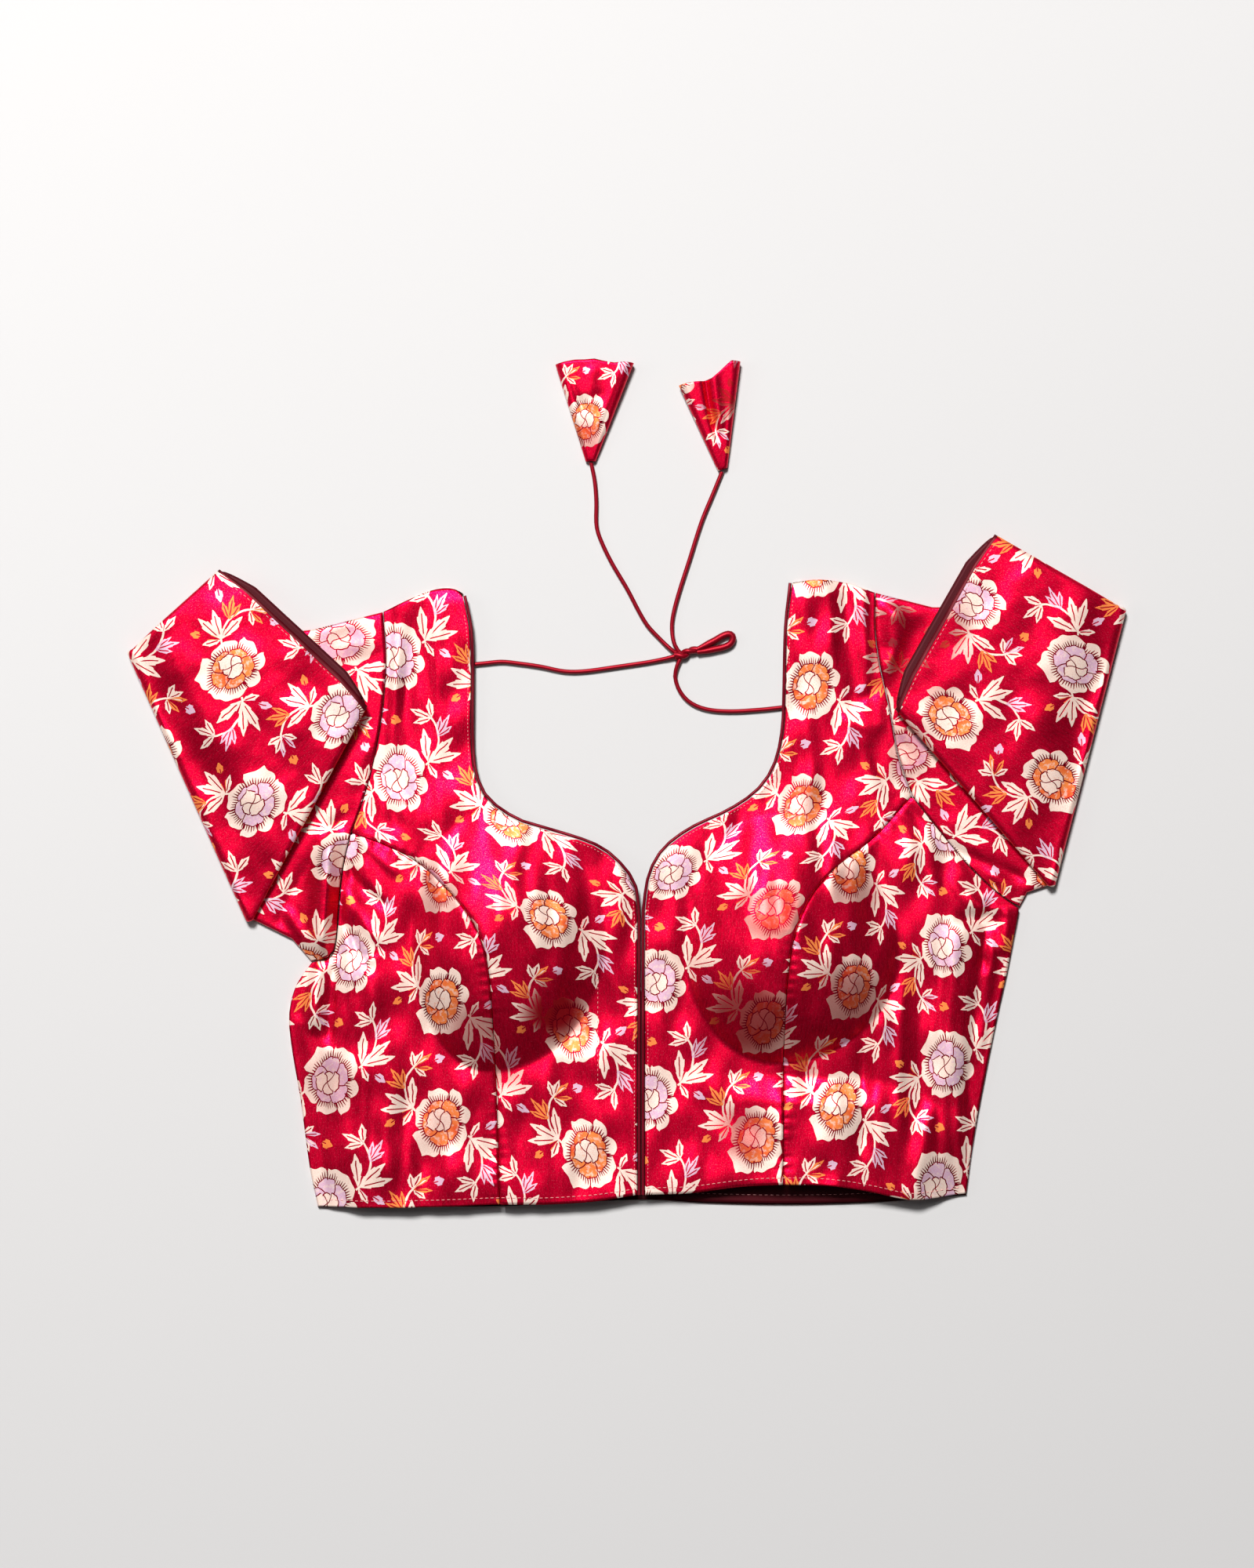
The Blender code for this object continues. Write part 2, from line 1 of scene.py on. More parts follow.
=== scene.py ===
import math
from collections import namedtuple

import bpy
import numpy as np
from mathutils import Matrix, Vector
from mathutils.geometry import delaunay_2d_cdt, interpolate_bezier


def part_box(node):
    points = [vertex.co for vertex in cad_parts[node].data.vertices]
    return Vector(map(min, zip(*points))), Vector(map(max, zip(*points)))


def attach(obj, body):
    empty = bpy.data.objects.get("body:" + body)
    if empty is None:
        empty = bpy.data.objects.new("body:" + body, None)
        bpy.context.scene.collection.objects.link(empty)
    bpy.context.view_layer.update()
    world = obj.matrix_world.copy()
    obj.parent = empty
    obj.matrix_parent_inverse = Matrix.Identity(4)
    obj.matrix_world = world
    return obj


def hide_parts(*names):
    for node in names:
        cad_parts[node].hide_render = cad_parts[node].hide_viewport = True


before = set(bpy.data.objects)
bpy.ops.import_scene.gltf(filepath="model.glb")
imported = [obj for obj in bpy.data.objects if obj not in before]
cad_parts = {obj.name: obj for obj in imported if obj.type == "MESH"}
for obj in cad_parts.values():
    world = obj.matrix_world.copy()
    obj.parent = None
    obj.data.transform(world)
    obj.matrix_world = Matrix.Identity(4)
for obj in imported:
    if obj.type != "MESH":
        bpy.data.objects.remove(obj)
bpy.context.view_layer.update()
mm = 0.001
sides = {"left": 1, "right": -1}  # which hand of each outline the cloth lies on

# Garment millimetres: across from the opening, up from the waist hem, height over the floor.
# Lines are lists of (across, up). The knot's place in them ties them to the frame.
knotPlace = np.array([27.4, 346.2])
shift = [(low + high) / 2 - spot * mm for low, high, spot in zip(*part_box("dori_knot"), knotPlace)]
print("frame loaded")


def placed(x, y, z):
    return (x * mm + shift[0], y * mm + shift[1], z * mm)


def inScene(name, data):
    made = bpy.data.objects.new(name, data)
    bpy.context.scene.collection.objects.link(made)
    return made


# Camera straight above, as in the photo
view = {"middle": (-8.8, 264.6), "height": 2.2, "tallSide": 0.98, "sensor": 36}

cameraData = bpy.data.cameras.new("viewCamera")
cameraData.lens = view["sensor"] * view["height"] / view["tallSide"]
camera = inScene("viewCamera", cameraData)
camera.location = placed(*view["middle"], view["height"] / mm)
bpy.context.scene.camera = camera
bpy.context.scene.view_settings.view_transform = "Standard"  # keeps the crimson as deep as it is


# Lines and small sums
def easeBetween(value, start, end):
    share = np.clip((np.asarray(value, float) - start) / (end - start), 0, 1)
    return share * share * (3 - 2 * share)


def mixValues(a, b, share):
    return a + (b - a) * share


def unit(vector):
    return vector / np.linalg.norm(vector, axis=-1, keepdims=True)


def smoothLine(stops, perSpan=10):
    points = [Vector(tuple(stop)) for stop in stops]
    line = []
    for i in range(len(points) - 1):
        before, a = points[max(i - 1, 0)], points[i]
        b, after = points[i + 1], points[min(i + 2, len(points) - 1)]
        span = (b - a).length
        lead, trail = (b - before).normalized() * span / 3, (after - a).normalized() * span / 3
        line += interpolate_bezier(a, a + lead, b - trail, b, perSpan + 1)[:-1]
    return np.array([tuple(point) for point in line + [points[-1]]])


def lengthsAlong(line):
    return np.concatenate([[0], np.cumsum(np.linalg.norm(np.diff(line, axis=0), axis=1))])


def alongLine(line, wanted):  # places at given lengths along a line
    run = lengthsAlong(line)
    return np.stack([np.interp(wanted, run, values) for values in line.T], axis=-1)


def evenly(line, count):
    return alongLine(line, np.linspace(0, lengthsAlong(line)[-1], count))


def drawn(stops, count):
    return evenly(smoothLine(stops), count)


def shifted(line, distance):  # to the line's left for a positive distance
    run = unit(np.vstack([line[1:], line[-1:]]) - np.vstack([line[:1], line[:-1]]))
    return line + np.column_stack([-run[:, 1], run[:, 0]]) * distance


def between(start, stops, end):
    return smoothLine([start, *stops[1:-1], end])


def nearestOn(points, line):  # how far a line's nearest spot is from each point, and which it is
    away, which = [], []
    for part in np.array_split(points, len(points) // 2000 + 1):
        gaps = np.linalg.norm(part[:, None] - line[None], axis=2)
        away.append(gaps.min(axis=1))
        which.append(gaps.argmin(axis=1))
    return np.concatenate(away), np.concatenate(which)


# Node trees
def linked(socket, value):
    if isinstance(value, Amount):
        socket.id_data.links.new(value.socket, socket)
    elif value is not None:
        socket.default_value = value


def addNode(tree, kind, values=(), operation=None):
    node = tree.nodes.new("ShaderNode" + kind)
    if operation:
        node.operation = operation
    for socket, value in zip(node.inputs, values):
        linked(socket, value)
    return node


class Amount:  # value in a node tree: plain signs join numbers, and | takes the larger
    def __init__(self, socket):
        self.socket, self.tree = socket, socket.id_data

    def by(self, kind, *others):
        return Amount(addNode(self.tree, "Math", (self, *others), kind).outputs[0])

    def scaled(self, factor, plus):
        return self.by("MULTIPLY_ADD", factor, plus)

    def __sub__(self, other):
        return self.by("SUBTRACT", other)

    def __rsub__(self, other):
        return self.scaled(-1.0, other)

    def __mul__(self, other):
        return self.by("MULTIPLY", other)

    def __truediv__(self, other):
        return self.by("DIVIDE", other)

    def __lt__(self, other):
        return self.by("LESS_THAN", other)

    def __gt__(self, other):
        return self.by("GREATER_THAN", other)

    def __or__(self, other):
        return self.by("MAXIMUM", other)


def vectors(kind, *values):
    node = addNode(values[0].tree, "VectorMath", values, kind)
    return Amount(node.outputs["Value" if kind == "LENGTH" else "Vector"])


def parted(vector):
    node = addNode(vector.tree, "SeparateXYZ", (vector,))
    return Amount(node.outputs[0]), Amount(node.outputs[1])


def mixedColour(share, a, b):
    node = addNode(share.tree, "Mix")
    node.data_type = "RGBA"
    for place, value in ((0, share), (6, a), (7, b)):
        linked(node.inputs[place], value)
    return Amount(node.outputs[2])


def shaped(value, heights):  # any shape over 0 to 1, from evenly spaced heights of 0 to 1
    node = addNode(value.tree, "FloatCurve", (None, value))
    points = node.mapping.curves[0].points
    while len(points) < len(heights):
        points.new(0.5, 0.5)
    for i, height in enumerate(heights):
        points[i].location = (i / (len(heights) - 1), float(height))
        points[i].handle_type = "VECTOR"
    node.mapping.update()
    return Amount(node.outputs[0])


def banded(value, stops):  # colours that change at once at each stop
    node = addNode(value.tree, "ValToRGB", (value,))
    node.color_ramp.interpolation = "CONSTANT"
    ramp = node.color_ramp.elements
    while len(ramp) < len(stops):
        ramp.new(0.5)
    for spot, (position, colour) in zip(ramp, stops):
        spot.position = position
        spot.color = colour
    return Amount(node.outputs[0])


def noisy(vector, scale, detail=2.0, roughness=0.5):
    node = addNode(vector.tree, "TexNoise", (vector,))
    for title, value in (("Scale", scale), ("Detail", detail), ("Roughness", roughness)):
        node.inputs[title].default_value = value
    return Amount(node.outputs[0])


def streaked(vector, across, up, detail, roughness):  # noise drawn out by its own scale each way
    return noisy(vectors("MULTIPLY", vector, (across, up, 1)), 1.0, detail, roughness)


def newGroup(name, takes, gives):
    group = bpy.data.node_groups.new(name, "ShaderNodeTree")
    for way, sockets in (("INPUT", takes), ("OUTPUT", gives)):
        for title, kind in sockets.items():
            group.interface.new_socket(title, in_out=way, socket_type="NodeSocket" + kind)
    start, end = group.nodes.new("NodeGroupInput"), group.nodes.new("NodeGroupOutput")
    return group, [Amount(start.outputs[title]) for title in takes], [end.inputs[title] for title in gives]


def placeGroup(tree, group, **values):
    node = addNode(tree, "Group")
    node.node_tree = group
    for title, value in values.items():
        linked(node.inputs[title], value)
    return [Amount(socket) for socket in node.outputs]


# Brocade: rows of roses in two colours, half a drop apart, each with a long spray and a short one
brocade = {
    "column": 68.0,  # between neighbouring columns of roses, in mm of cloth
    "repeat": 76.0,  # between roses of one column
    "drop": -50.2,  # from an orange rose to the lilac one beside it
    "ground": (0.78, 0.0, 0.035, 1),
    # painted highlight: pale pink of the stray threads' glints
    "glint": (0.95, 0.14, 0.24, 1),
    "shade": (0.20, 0.0, 0.006, 1),
    # painted shade: the dull red that the pattern threads take in the painted shade patches
    "paintedShade": (0.42, 0.010, 0.018, 1),
    "cream": (0.90, 0.77, 0.66, 1),
    "orange": (0.88, 0.27, 0.065, 1),
    "ember": (0.72, 0.055, 0.012, 1),
    "lilac": (0.70, 0.51, 0.65, 1),
    "line": (0.33, 0.0, 0.016, 1),  # between petals
    "wander": 1.6,  # how far the threads stray sideways
    "midrib": 0.38, "stem": 0.62,  # half the widths of lines, in mm
    "squash": 0.8,  # a rose's width for its height
    "petalLine": 0.36, "petalsPart": 11.0, "ringLine": 0.32, "ringRim": 0.26, "heartLine": 0.28, "heartRim": 0.33,
    "heart": (-1.4, 0.9),
    "combTeeth": 57.0, "combUneven": 11.0,
}
otherTint = {"cream": "cream", "orange": "lilac", "lilac": "orange"}

Leaf = namedtuple("Leaf", "angle length halfWidth colour start", defaults=[0.0])  # start: share left bare
Fan = namedtuple("Fan", "across up leaves swapped", defaults=[False])  # swapped: colours change by the lilac roses
sprays = [  # spot that each is nearest to, fans, and the stem's start, middle and end
    ((-20, 20), [
        Fan(-17.6, 8.6, [Leaf(150, 20.0, 2.8, "cream"), Leaf(182, 20.5, 2.6, "cream"),
                         Leaf(213, 20.5, 2.1, "orange", 0.56), Leaf(240, 12.8, 2.1, "cream"),
                         Leaf(92, 20.5, 2.5, "cream")]),
        Fan(-22.6, 21.0, [Leaf(98, 13.0, 1.5, "orange"), Leaf(125, 16.0, 1.7, "orange"),
                          Leaf(156, 12.5, 1.5, "orange")]),
        Fan(-17.2, 34.0, [Leaf(102, 10.8, 2.0, "cream"), Leaf(66, 12.0, 1.9, "cream"), Leaf(41, 14.0, 1.6, "orange"),
                          Leaf(20, 20.4, 2.7, "lilac", 0.60), Leaf(-2, 12.0, 1.5, "orange"),
                          Leaf(-36, 9.6, 1.9, "cream")], True),
    ], [(-15.8, 7.0), (-22.6, 22.6), (-9.0, 39.8)]),
    ((22, -17), [
        Fan(17.8, -9.8, [Leaf(60, 12.0, 2.0, "cream"), Leaf(33, 20.0, 2.2, "lilac", 0.45),
                         Leaf(-15, 22.6, 2.7, "cream"), Leaf(-43, 23.6, 2.7, "cream"),
                         Leaf(-95, 22.0, 2.9, "cream")]),
        Fan(24.4, -25.6, [Leaf(-36, 12.0, 1.5, "lilac"), Leaf(-60, 17.0, 1.6, "lilac"),
                          Leaf(-80, 13.5, 1.5, "lilac")]),
        Fan(21.0, -37.2, [Leaf(-97, 12.8, 2.1, "cream"), Leaf(-156, 14.8, 2.0, "cream"),
                          Leaf(166, 12.4, 1.9, "cream")]),
    ], [(16.5, -8.2), (24.8, -22.0), (21.0, -37.4)]),
]
Petal = namedtuple("Petal", "start end reach corners", defaults=[()])
outerPetals = [Petal(-3, 35, 17.8), Petal(35, 72, 18.0, [0.78]), Petal(72, 125, 16.8, [0.72]), Petal(125, 195, 16.6),
               Petal(195, 265, 18.6, [0.12, -0.86]), Petal(265, 357, 17.2, [-0.92])]
ringPetals = [Petal(12, 84, 12.2), Petal(84, 150, 11.4), Petal(150, 226, 11.8), Petal(226, 292, 12.0),
              Petal(292, 372, 10.9)]
corePetals = [Petal(-62, 52, 7.2), Petal(52, 128, 6.2), Petal(128, 236, 7.4, [0.3]), Petal(236, 298, 5.4)]
turnDegrees = np.linspace(-180, 180, 257)
longestReach = 25.0


def awayFrom(angles, centre):
    return np.abs((angles - centre + 180) % 360 - 180)


def leafReach(leaf):
    # From where and how far a leaf reaches at each turn: a lens with teeth that point to its tip
    share = np.linspace(0.02, 1, 120)
    teeth = 1 + 0.42 * (share * 2.9 % 1.0) ** 2 * (share > 0.30) * (share < 0.94)
    half = leaf.halfWidth * 0.96 * np.sin(math.pi * share ** 1.06) ** 1.25 * teeth
    far = (leaf.start + share * (1 - leaf.start)) * leaf.length
    covers = awayFrom(turnDegrees, leaf.angle)[:, None] <= np.degrees(np.arctan2(half, far))
    near = np.min(np.where(covers, far, 99), axis=1) if leaf.start else 0 * turnDegrees
    return near, np.max(np.where(covers, far, 0), axis=1)


def petalEdge(petals, dip):
    edge = 0 * turnDegrees
    for petal in petals:
        middle, half = (petal.start + petal.end) / 2, (petal.end - petal.start) / 2
        t = (turnDegrees - middle + 180) % 360 - 180
        inside = np.abs(t) <= half
        t = np.clip(t / half, -1, 1)
        shape = petal.reach * (1 - dip * np.abs(t) ** 3.2 + 0.022 * np.cos(t * half / 4.2))
        for corner in petal.corners:
            shape = shape + 2.3 * np.exp(-np.abs(t - corner) * half / 4.5)
        edge = np.where(inside, np.maximum(edge, shape), edge)
    return edge


def startsOf(petals):
    return [petal.start for petal in petals]


def reachAt(share, reaches):
    return shaped(share, np.minimum(reaches / longestReach, 1)) * longestReach


def nearLine(share, far, angles, halfWidth):  # on the nearest of some rays from the middle
    away = np.min([awayFrom(turnDegrees, angle) for angle in angles], axis=0)
    return shaped(share, away / 180) * far < halfWidth / math.pi


def circleThrough(stem):
    (ax, ay), (bx, by), (cx, cy) = stem
    d = 2 * (ax * (by - cy) + bx * (cy - ay) + cx * (ay - by))
    a2, b2, c2 = ax * ax + ay * ay, bx * bx + by * by, cx * cx + cy * cy
    x = (a2 * (by - cy) + b2 * (cy - ay) + c2 * (ay - by)) / d
    y = (a2 * (cx - bx) + b2 * (ax - cx) + c2 * (bx - ax)) / d
    angles = [math.degrees(math.atan2(up - y, across - x)) for across, up in stem]
    return (x, y), math.hypot(ax - x, ay - y), angles[1], max(awayFrom(angle, angles[1]) for angle in angles)


def polar(x, y, centre):  # distance from a centre, and the turn round it, in shares and in radians
    there = vectors("SUBTRACT", Amount(addNode(x.tree, "CombineXYZ", (x, y)).outputs[0]), (*centre, 0))
    px, py = parted(there)
    turn = py.by("ARCTAN2", px)
    return vectors("LENGTH", there), turn.scaled(0.5 / math.pi, 0.5), turn


def fanMask(x, y, odd, fan):
    far, share, turn = polar(x, y, (fan.across, fan.up))
    nears, reaches = np.array([leafReach(leaf) for leaf in fan.leaves]).transpose(1, 0, 2)
    edge = reachAt(share, reaches.max(axis=0))
    ribs = nearLine(share, far, [leaf.angle for leaf in fan.leaves], brocade["midrib"])
    inMiddle = (far / edge - 0.50).by("ABSOLUTE") < 0.30
    mask = (far < edge) * (1 - ribs * inMiddle)
    if any(leaf.start for leaf in fan.leaves):
        near = nears[reaches.argmax(axis=0), np.arange(len(turnDegrees))]
        near = np.max([near, np.roll(near, 1), np.roll(near, -1)], axis=0)
        mask = mask * (far > reachAt(share, near))
    nearest = np.argmin([awayFrom(turnDegrees, leaf.angle) for leaf in fan.leaves], axis=0)
    borders = [k for k in range(len(nearest)) if k == 0 or nearest[k] != nearest[k - 1]]
    bands = [((turnDegrees[k] + 180) / 360, fan.leaves[nearest[k]].colour) for k in borders]
    tint = banded(share, [(border, brocade[colour]) for border, colour in bands])
    if fan.swapped:
        others = [(border, brocade[otherTint[colour]]) for border, colour in bands]
        tint = mixedColour(odd, tint, banded(share, others))
    return mask, tint


def stemMask(x, y, stem):
    centre, radius, middle, half = circleThrough(stem)
    far, share, turn = polar(x, y, centre)
    aside = (far - radius).by("ABSOLUTE")
    off = (turn - math.radians(middle)).by("WRAP", math.pi, -math.pi).by("ABSOLUTE")
    return (aside < brocade["stem"]) * (off < math.radians(half))


def foldedPlace(u, v, flipped, middle):
    # Place beside the nearest rose: the lilac roses' columns are the orange ones' upside down
    column, repeat = brocade["column"], brocade["repeat"]
    k = u.scaled(1 / column, 0.5 - middle[0] / column).by("FLOOR")
    odd = k.by("FLOORED_MODULO", 2.0)
    y = odd.scaled(flipped, v).by("WRAP", middle[1] + repeat / 2, middle[1] - repeat / 2)
    return k.scaled(-column, u), y, odd


def makeBrocade():
    group, (cloth, paintedShade), ends = newGroup("brocadeRoses", {"Cloth": "Vector", "Rubbed": "Float"},
                                            {"Colour": "Color", "Thread": "Float", "Relief": "Float"})
    cream = brocade["cream"]
    wander = noisy(cloth, 160, 1) - 0.5
    u, v = parted(vectors("SCALE", cloth, None, None, 1 / mm))
    u = wander.scaled(brocade["wander"], u)
    flipped = v.scaled(-2.0, brocade["drop"])

    # Ground: satin with slubs, and pale stray threads that run up the cloth; their pale pink specks are partly the
    # threads' own colour and partly painted highlight, standing in for their glints
    slubs = streaked(cloth, 900, 170, 2, 0.65)
    colour = mixedColour(slubs.scaled(1.5, -0.55), brocade["ground"], brocade["shade"])
    strayThreadGlints = streaked(cloth, 2300, 900, 2, 0.75)
    colour = mixedColour(strayThreadGlints.scaled(3.2, -1.82), colour, brocade["glint"])

    thread = None
    for middle, fans, stem in sprays:
        x, y, odd = foldedPlace(u, v, flipped, middle)
        mask = stemMask(x, y, stem)
        colour = mixedColour(mask, colour, cream)
        thread = mask if thread is None else thread | mask
        for fan in fans:
            mask, tint = fanMask(x, y, odd, fan)
            colour = mixedColour(mask, colour, tint)
            thread = thread | mask

    # Rose: outer petals with combed inner edges, a coloured ring, and a folded heart
    x, y, odd = foldedPlace(u, v, flipped, (0, 0))
    tall = y * brocade["squash"]
    far, share, turn = polar(x, tall, (0, 0))
    rose = far < reachAt(share, petalEdge(outerPetals, 0.17))
    split = nearLine(share, far, startsOf(outerPetals), brocade["petalLine"]) * (far > brocade["petalsPart"])
    beyond = far - reachAt(share, petalEdge(ringPetals, 0.14))
    outside = beyond > 0.0
    slow = (turn * brocade["combUneven"]).by("SINE")
    comb = (turn * brocade["combTeeth"]).by("COSINE") > beyond * slow.scaled(0.08, 0.46) - 0.42
    curled = (far - 10.0).scaled(0.008, share).by("FRACT")
    ringSplit = nearLine(curled, far, startsOf(ringPetals), brocade["ringLine"]) * (beyond < 0.0)
    dark = split | comb * outside | ringSplit | (beyond.by("ABSOLUTE") < brocade["ringRim"])
    blush = noisy(cloth, 75, 1).scaled(3.2, -1.45)
    tint = mixedColour(odd, mixedColour(blush, brocade["orange"], brocade["ember"]), brocade["lilac"])
    patches = noisy(cloth, 330, 2, 0.6)  # where the colours of ring and heart mix
    paler = patches.scaled(4.5, -2.25).by("MAXIMUM", 0.0).by("MINIMUM", 0.55)
    tinted = patches.scaled(-4.0, 1.7).by("MAXIMUM", 0.0).by("MINIMUM", 0.6)
    roseColour = mixedColour(outside, mixedColour(paler, tint, cream), cream)
    far, share, turn = polar(x, tall, brocade["heart"])
    heart = far - reachAt(share, petalEdge(corePetals, 0.18))
    inHeart = heart < 0.0
    roseColour = mixedColour(inHeart, roseColour, mixedColour(tinted, cream, tint))
    curled = (far - 6.5).scaled(0.012, share).by("FRACT")
    heartSplit = nearLine(curled, far, startsOf(corePetals), brocade["heartLine"]) * inHeart
    dark = dark * (1 - inHeart) | (heart.by("ABSOLUTE") < brocade["heartRim"]) | heartSplit
    colour = mixedColour(rose, colour, mixedColour(dark, roseColour, brocade["line"]))
    thread = thread * (1 - rose) | rose * (1 - dark)

    # Floats of the pattern threads: fine broken ribs
    ribs = streaked(cloth, 900, 3200, 1, 0.6)
    wearAndShade = ((0.62 - ribs) * 0.9 | 0.0) * thread
    colour = mixedColour(wearAndShade, colour, brocade["ground"])
    # Painted shade: pattern threads darkened to a dull red, with their gloss turned towards the ground's, where the
    # per-point painted shade attribute is set
    paintedThreadShade = thread * paintedShade
    colour = mixedColour(paintedThreadShade, colour, brocade["paintedShade"])
    thread = thread * paintedThreadShade.scaled(-0.7, 1.0)
    for socket, value in zip(ends, (colour, thread, ribs.scaled(0.35, thread))):
        linked(socket, value)
    return group


brocadeGroup = makeBrocade()
print("brocade pattern ready")


def newMaterial(name, colour, roughness, metallic=0.0, sheen=0.0, specular=0.5):
    made = bpy.data.materials.new(name)
    made.use_nodes = True
    shader = made.node_tree.nodes["Principled BSDF"]
    for title, value in (("Base Color", colour), ("Roughness", roughness), ("Metallic", metallic),
                         ("Sheen Weight", sheen), ("Sheen Roughness", 0.4), ("Specular IOR Level", specular)):
        shader.inputs[title].default_value = value
    return made, made.node_tree, shader


def clothPlace(tree):
    node = addNode(tree, "UVMap")
    node.uv_map = "cloth"
    return Amount(node.outputs[0])


def bumped(shader, height, strength, distance):
    bump = addNode(height.tree, "Bump")
    for title, value in (("Strength", strength), ("Distance", distance), ("Height", height)):
        linked(bump.inputs[title], value)
    linked(shader.inputs["Normal"], Amount(bump.outputs[0]))


satin = {"Roughness": (0.43, 0.52), "Metallic": (0.88, 0.45), "relief": 0.00018}  # of ground and pattern threads


def brocadeMaterial():
    made, tree, shader = newMaterial("brocadeSatin", brocade["ground"], 0.4, 0.3, specular=0.08)
    # Painted shade: a per-point attribute that darkens the pattern threads in the painted shade patches
    paintedShade = addNode(tree, "Attribute")
    paintedShade.attribute_name = "paintedShade"
    wearAndShade = Amount(paintedShade.outputs["Fac"])
    colour, thread, relief = placeGroup(tree, brocadeGroup, Cloth=clothPlace(tree), Rubbed=wearAndShade)
    linked(shader.inputs["Base Color"], colour)
    for title in ("Roughness", "Metallic"):
        ground, threads = satin[title]
        linked(shader.inputs[title], thread.scaled(threads - ground, ground))
    bumped(shader, relief, 0.5, satin["relief"])
    return made


# Plain cloths: a fine weave whose threads run both ways
def makeWeave():
    group, (place, tint, deep, threads), ends = newGroup(
        "plainWeave", {"Place": "Vector", "Tint": "Color", "Deep": "Color", "Threads": "Float"},
        {"Colour": "Color", "Relief": "Float"})
    place = vectors("SCALE", place, None, None, threads)
    x, y = parted(place)
    over = x.by("SINE") * y.by("SINE")
    fuzz = noisy(place, 0.35, 3, 0.6)
    linked(ends[0], mixedColour(fuzz, deep, tint))
    linked(ends[1], over.scaled(0.5, fuzz))
    return group


weaveGroup = makeWeave()
weaveRelief = 0.0001


def plainMaterial(name, tint, deep, roughness, threads, metallic=0.0, sheen=0.04, objectPlace=False):
    made, tree, shader = newMaterial(name, tint, roughness, metallic, sheen, 0.22)
    place = Amount(addNode(tree, "TexCoord").outputs["Object"]) if objectPlace else clothPlace(tree)
    colour, relief = placeGroup(tree, weaveGroup, Place=place, Tint=tint, Deep=deep, Threads=threads)
    linked(shader.inputs["Base Color"], colour)
    bumped(shader, relief, 0.35, weaveRelief)
    return made


brocadeCloth = brocadeMaterial()
liningCloth = plainMaterial("maroonLining", (0.085, 0.0, 0.006, 1), (0.035, 0.0, 0.002, 1), 0.55, 9000.0, 0.3)
hemSatin = plainMaterial("hemSatin", (0.12, 0.0, 0.007, 1), (0.05, 0.0, 0.002, 1), 0.45, 9000.0, 0.4)
pipingSatin = plainMaterial("pipingSatin", (0.22, 0.0, 0.014, 1), (0.09, 0.0, 0.005, 1), 0.42, 9000.0, 0.4,
                            objectPlace=True)
cordSatin = plainMaterial("cordSatin", (0.36, 0.0, 0.014, 1), (0.14, 0.0, 0.005, 1), 0.42, 7000.0, 0.5,
                          objectPlace=True)
threadWhite = plainMaterial("paleThread", (0.80, 0.42, 0.40, 1), (0.62, 0.22, 0.22, 1), 0.5, 9000.0, objectPlace=True)
print("materials ready")


# Patches of painted shade, where the pattern threads are darkened to a dull red as if they lay in shade
paintedShadePatches = [  # across, up, reach, share
    (80, 187, 30, 0.85), (66, 122, 40, 0.90), (128, 131, 30, 0.65), (131, 198, 22, 0.45), (62, 47, 22, 0.75),
    (98, 254, 24, 0.35), (-54, 124, 26, 1.0), (-85, 93, 26, 0.55), (-102, 113, 24, 0.55), (-126, 52, 22, 0.20),
    (-195, 78, 24, 0.25), (-129, 199, 26, 0.45), (-98, 196, 30, 0.55), (170, 352, 42, 0.95), (164, 285, 24, 0.45),
    (-187, 354, 26, 0.35), (104, 96, 22, 0.5), (52, 512, 26, 1.0), (-36, 478, 16, 0.55),
]


# Painted shade: each point's share of the painted shade patches, stored as a point attribute
def addRubbed(piece, places):
    paintedShade = np.zeros(len(places))
    for across, up, reach, share in paintedShadePatches:
        away = np.hypot(places[:, 0] - across, places[:, 1] - up)
        paintedShade = np.maximum(paintedShade, share * (1 - easeBetween(away, reach * 0.35, reach * 1.1)))
    piece.data.attributes.new("paintedShade", "FLOAT", "POINT").data.foreach_set("value", paintedShade.astype(np.float32))


# Meshes
def newPiece(name, points, faces, materials, uvs=None, faceMaterials=None):
    mesh = bpy.data.meshes.new(name)
    mesh.from_pydata([placed(*point) for point in points], [], faces)
    for material in materials:
        mesh.materials.append(material)
    mesh.polygons.foreach_set("use_smooth", [True] * len(faces))
    if faceMaterials is not None:
        mesh.polygons.foreach_set("material_index", faceMaterials)
    if uvs is not None:
        mesh.uv_layers.new(name="cloth").data.foreach_set("uv", np.ravel(uvs) * mm)
    return inScene(name, mesh)


def dressed(piece, node=None):
    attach(piece, "root")
    if node:
        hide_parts(node)
    return piece


def gridFaces(rows, columns, around=False):
    i, j = np.meshgrid(np.arange(rows - 1), np.arange(columns if around else columns - 1), indexing="ij")
    a, b = i * columns + j, i * columns + (j + 1) % columns
    return np.stack([a, b, b + columns, a + columns], axis=-1).reshape(-1, 4)


def walled(piece, thickness, offset=-1):
    wall = piece.modifiers.new("wall", "SOLIDIFY")
    wall.thickness, wall.offset = thickness * mm, offset
    wall.material_offset, wall.material_offset_rim = 1, 0
    return piece


def clothPiece(name, places, faces, uvs, thickness, materials, offset=-1, faceMaterials=None):
    # Sheet through rows of points, with a wall and its own place on the uncut cloth
    places = places.reshape(-1, 3)
    piece = newPiece(name, places, faces.tolist(), materials, uvs, faceMaterials)
    addRubbed(piece, places)
    return walled(piece, thickness, offset)


def clothGrid(name, places, uvs, thickness, materials, offset=-1):
    faces = gridFaces(*places.shape[:2])
    return clothPiece(name, places, faces, uvs.reshape(-1, 2)[faces], thickness, materials, offset)


def declareSheet(piece, area=None):
    area = sum(face.area for face in piece.data.polygons) if area is None else area


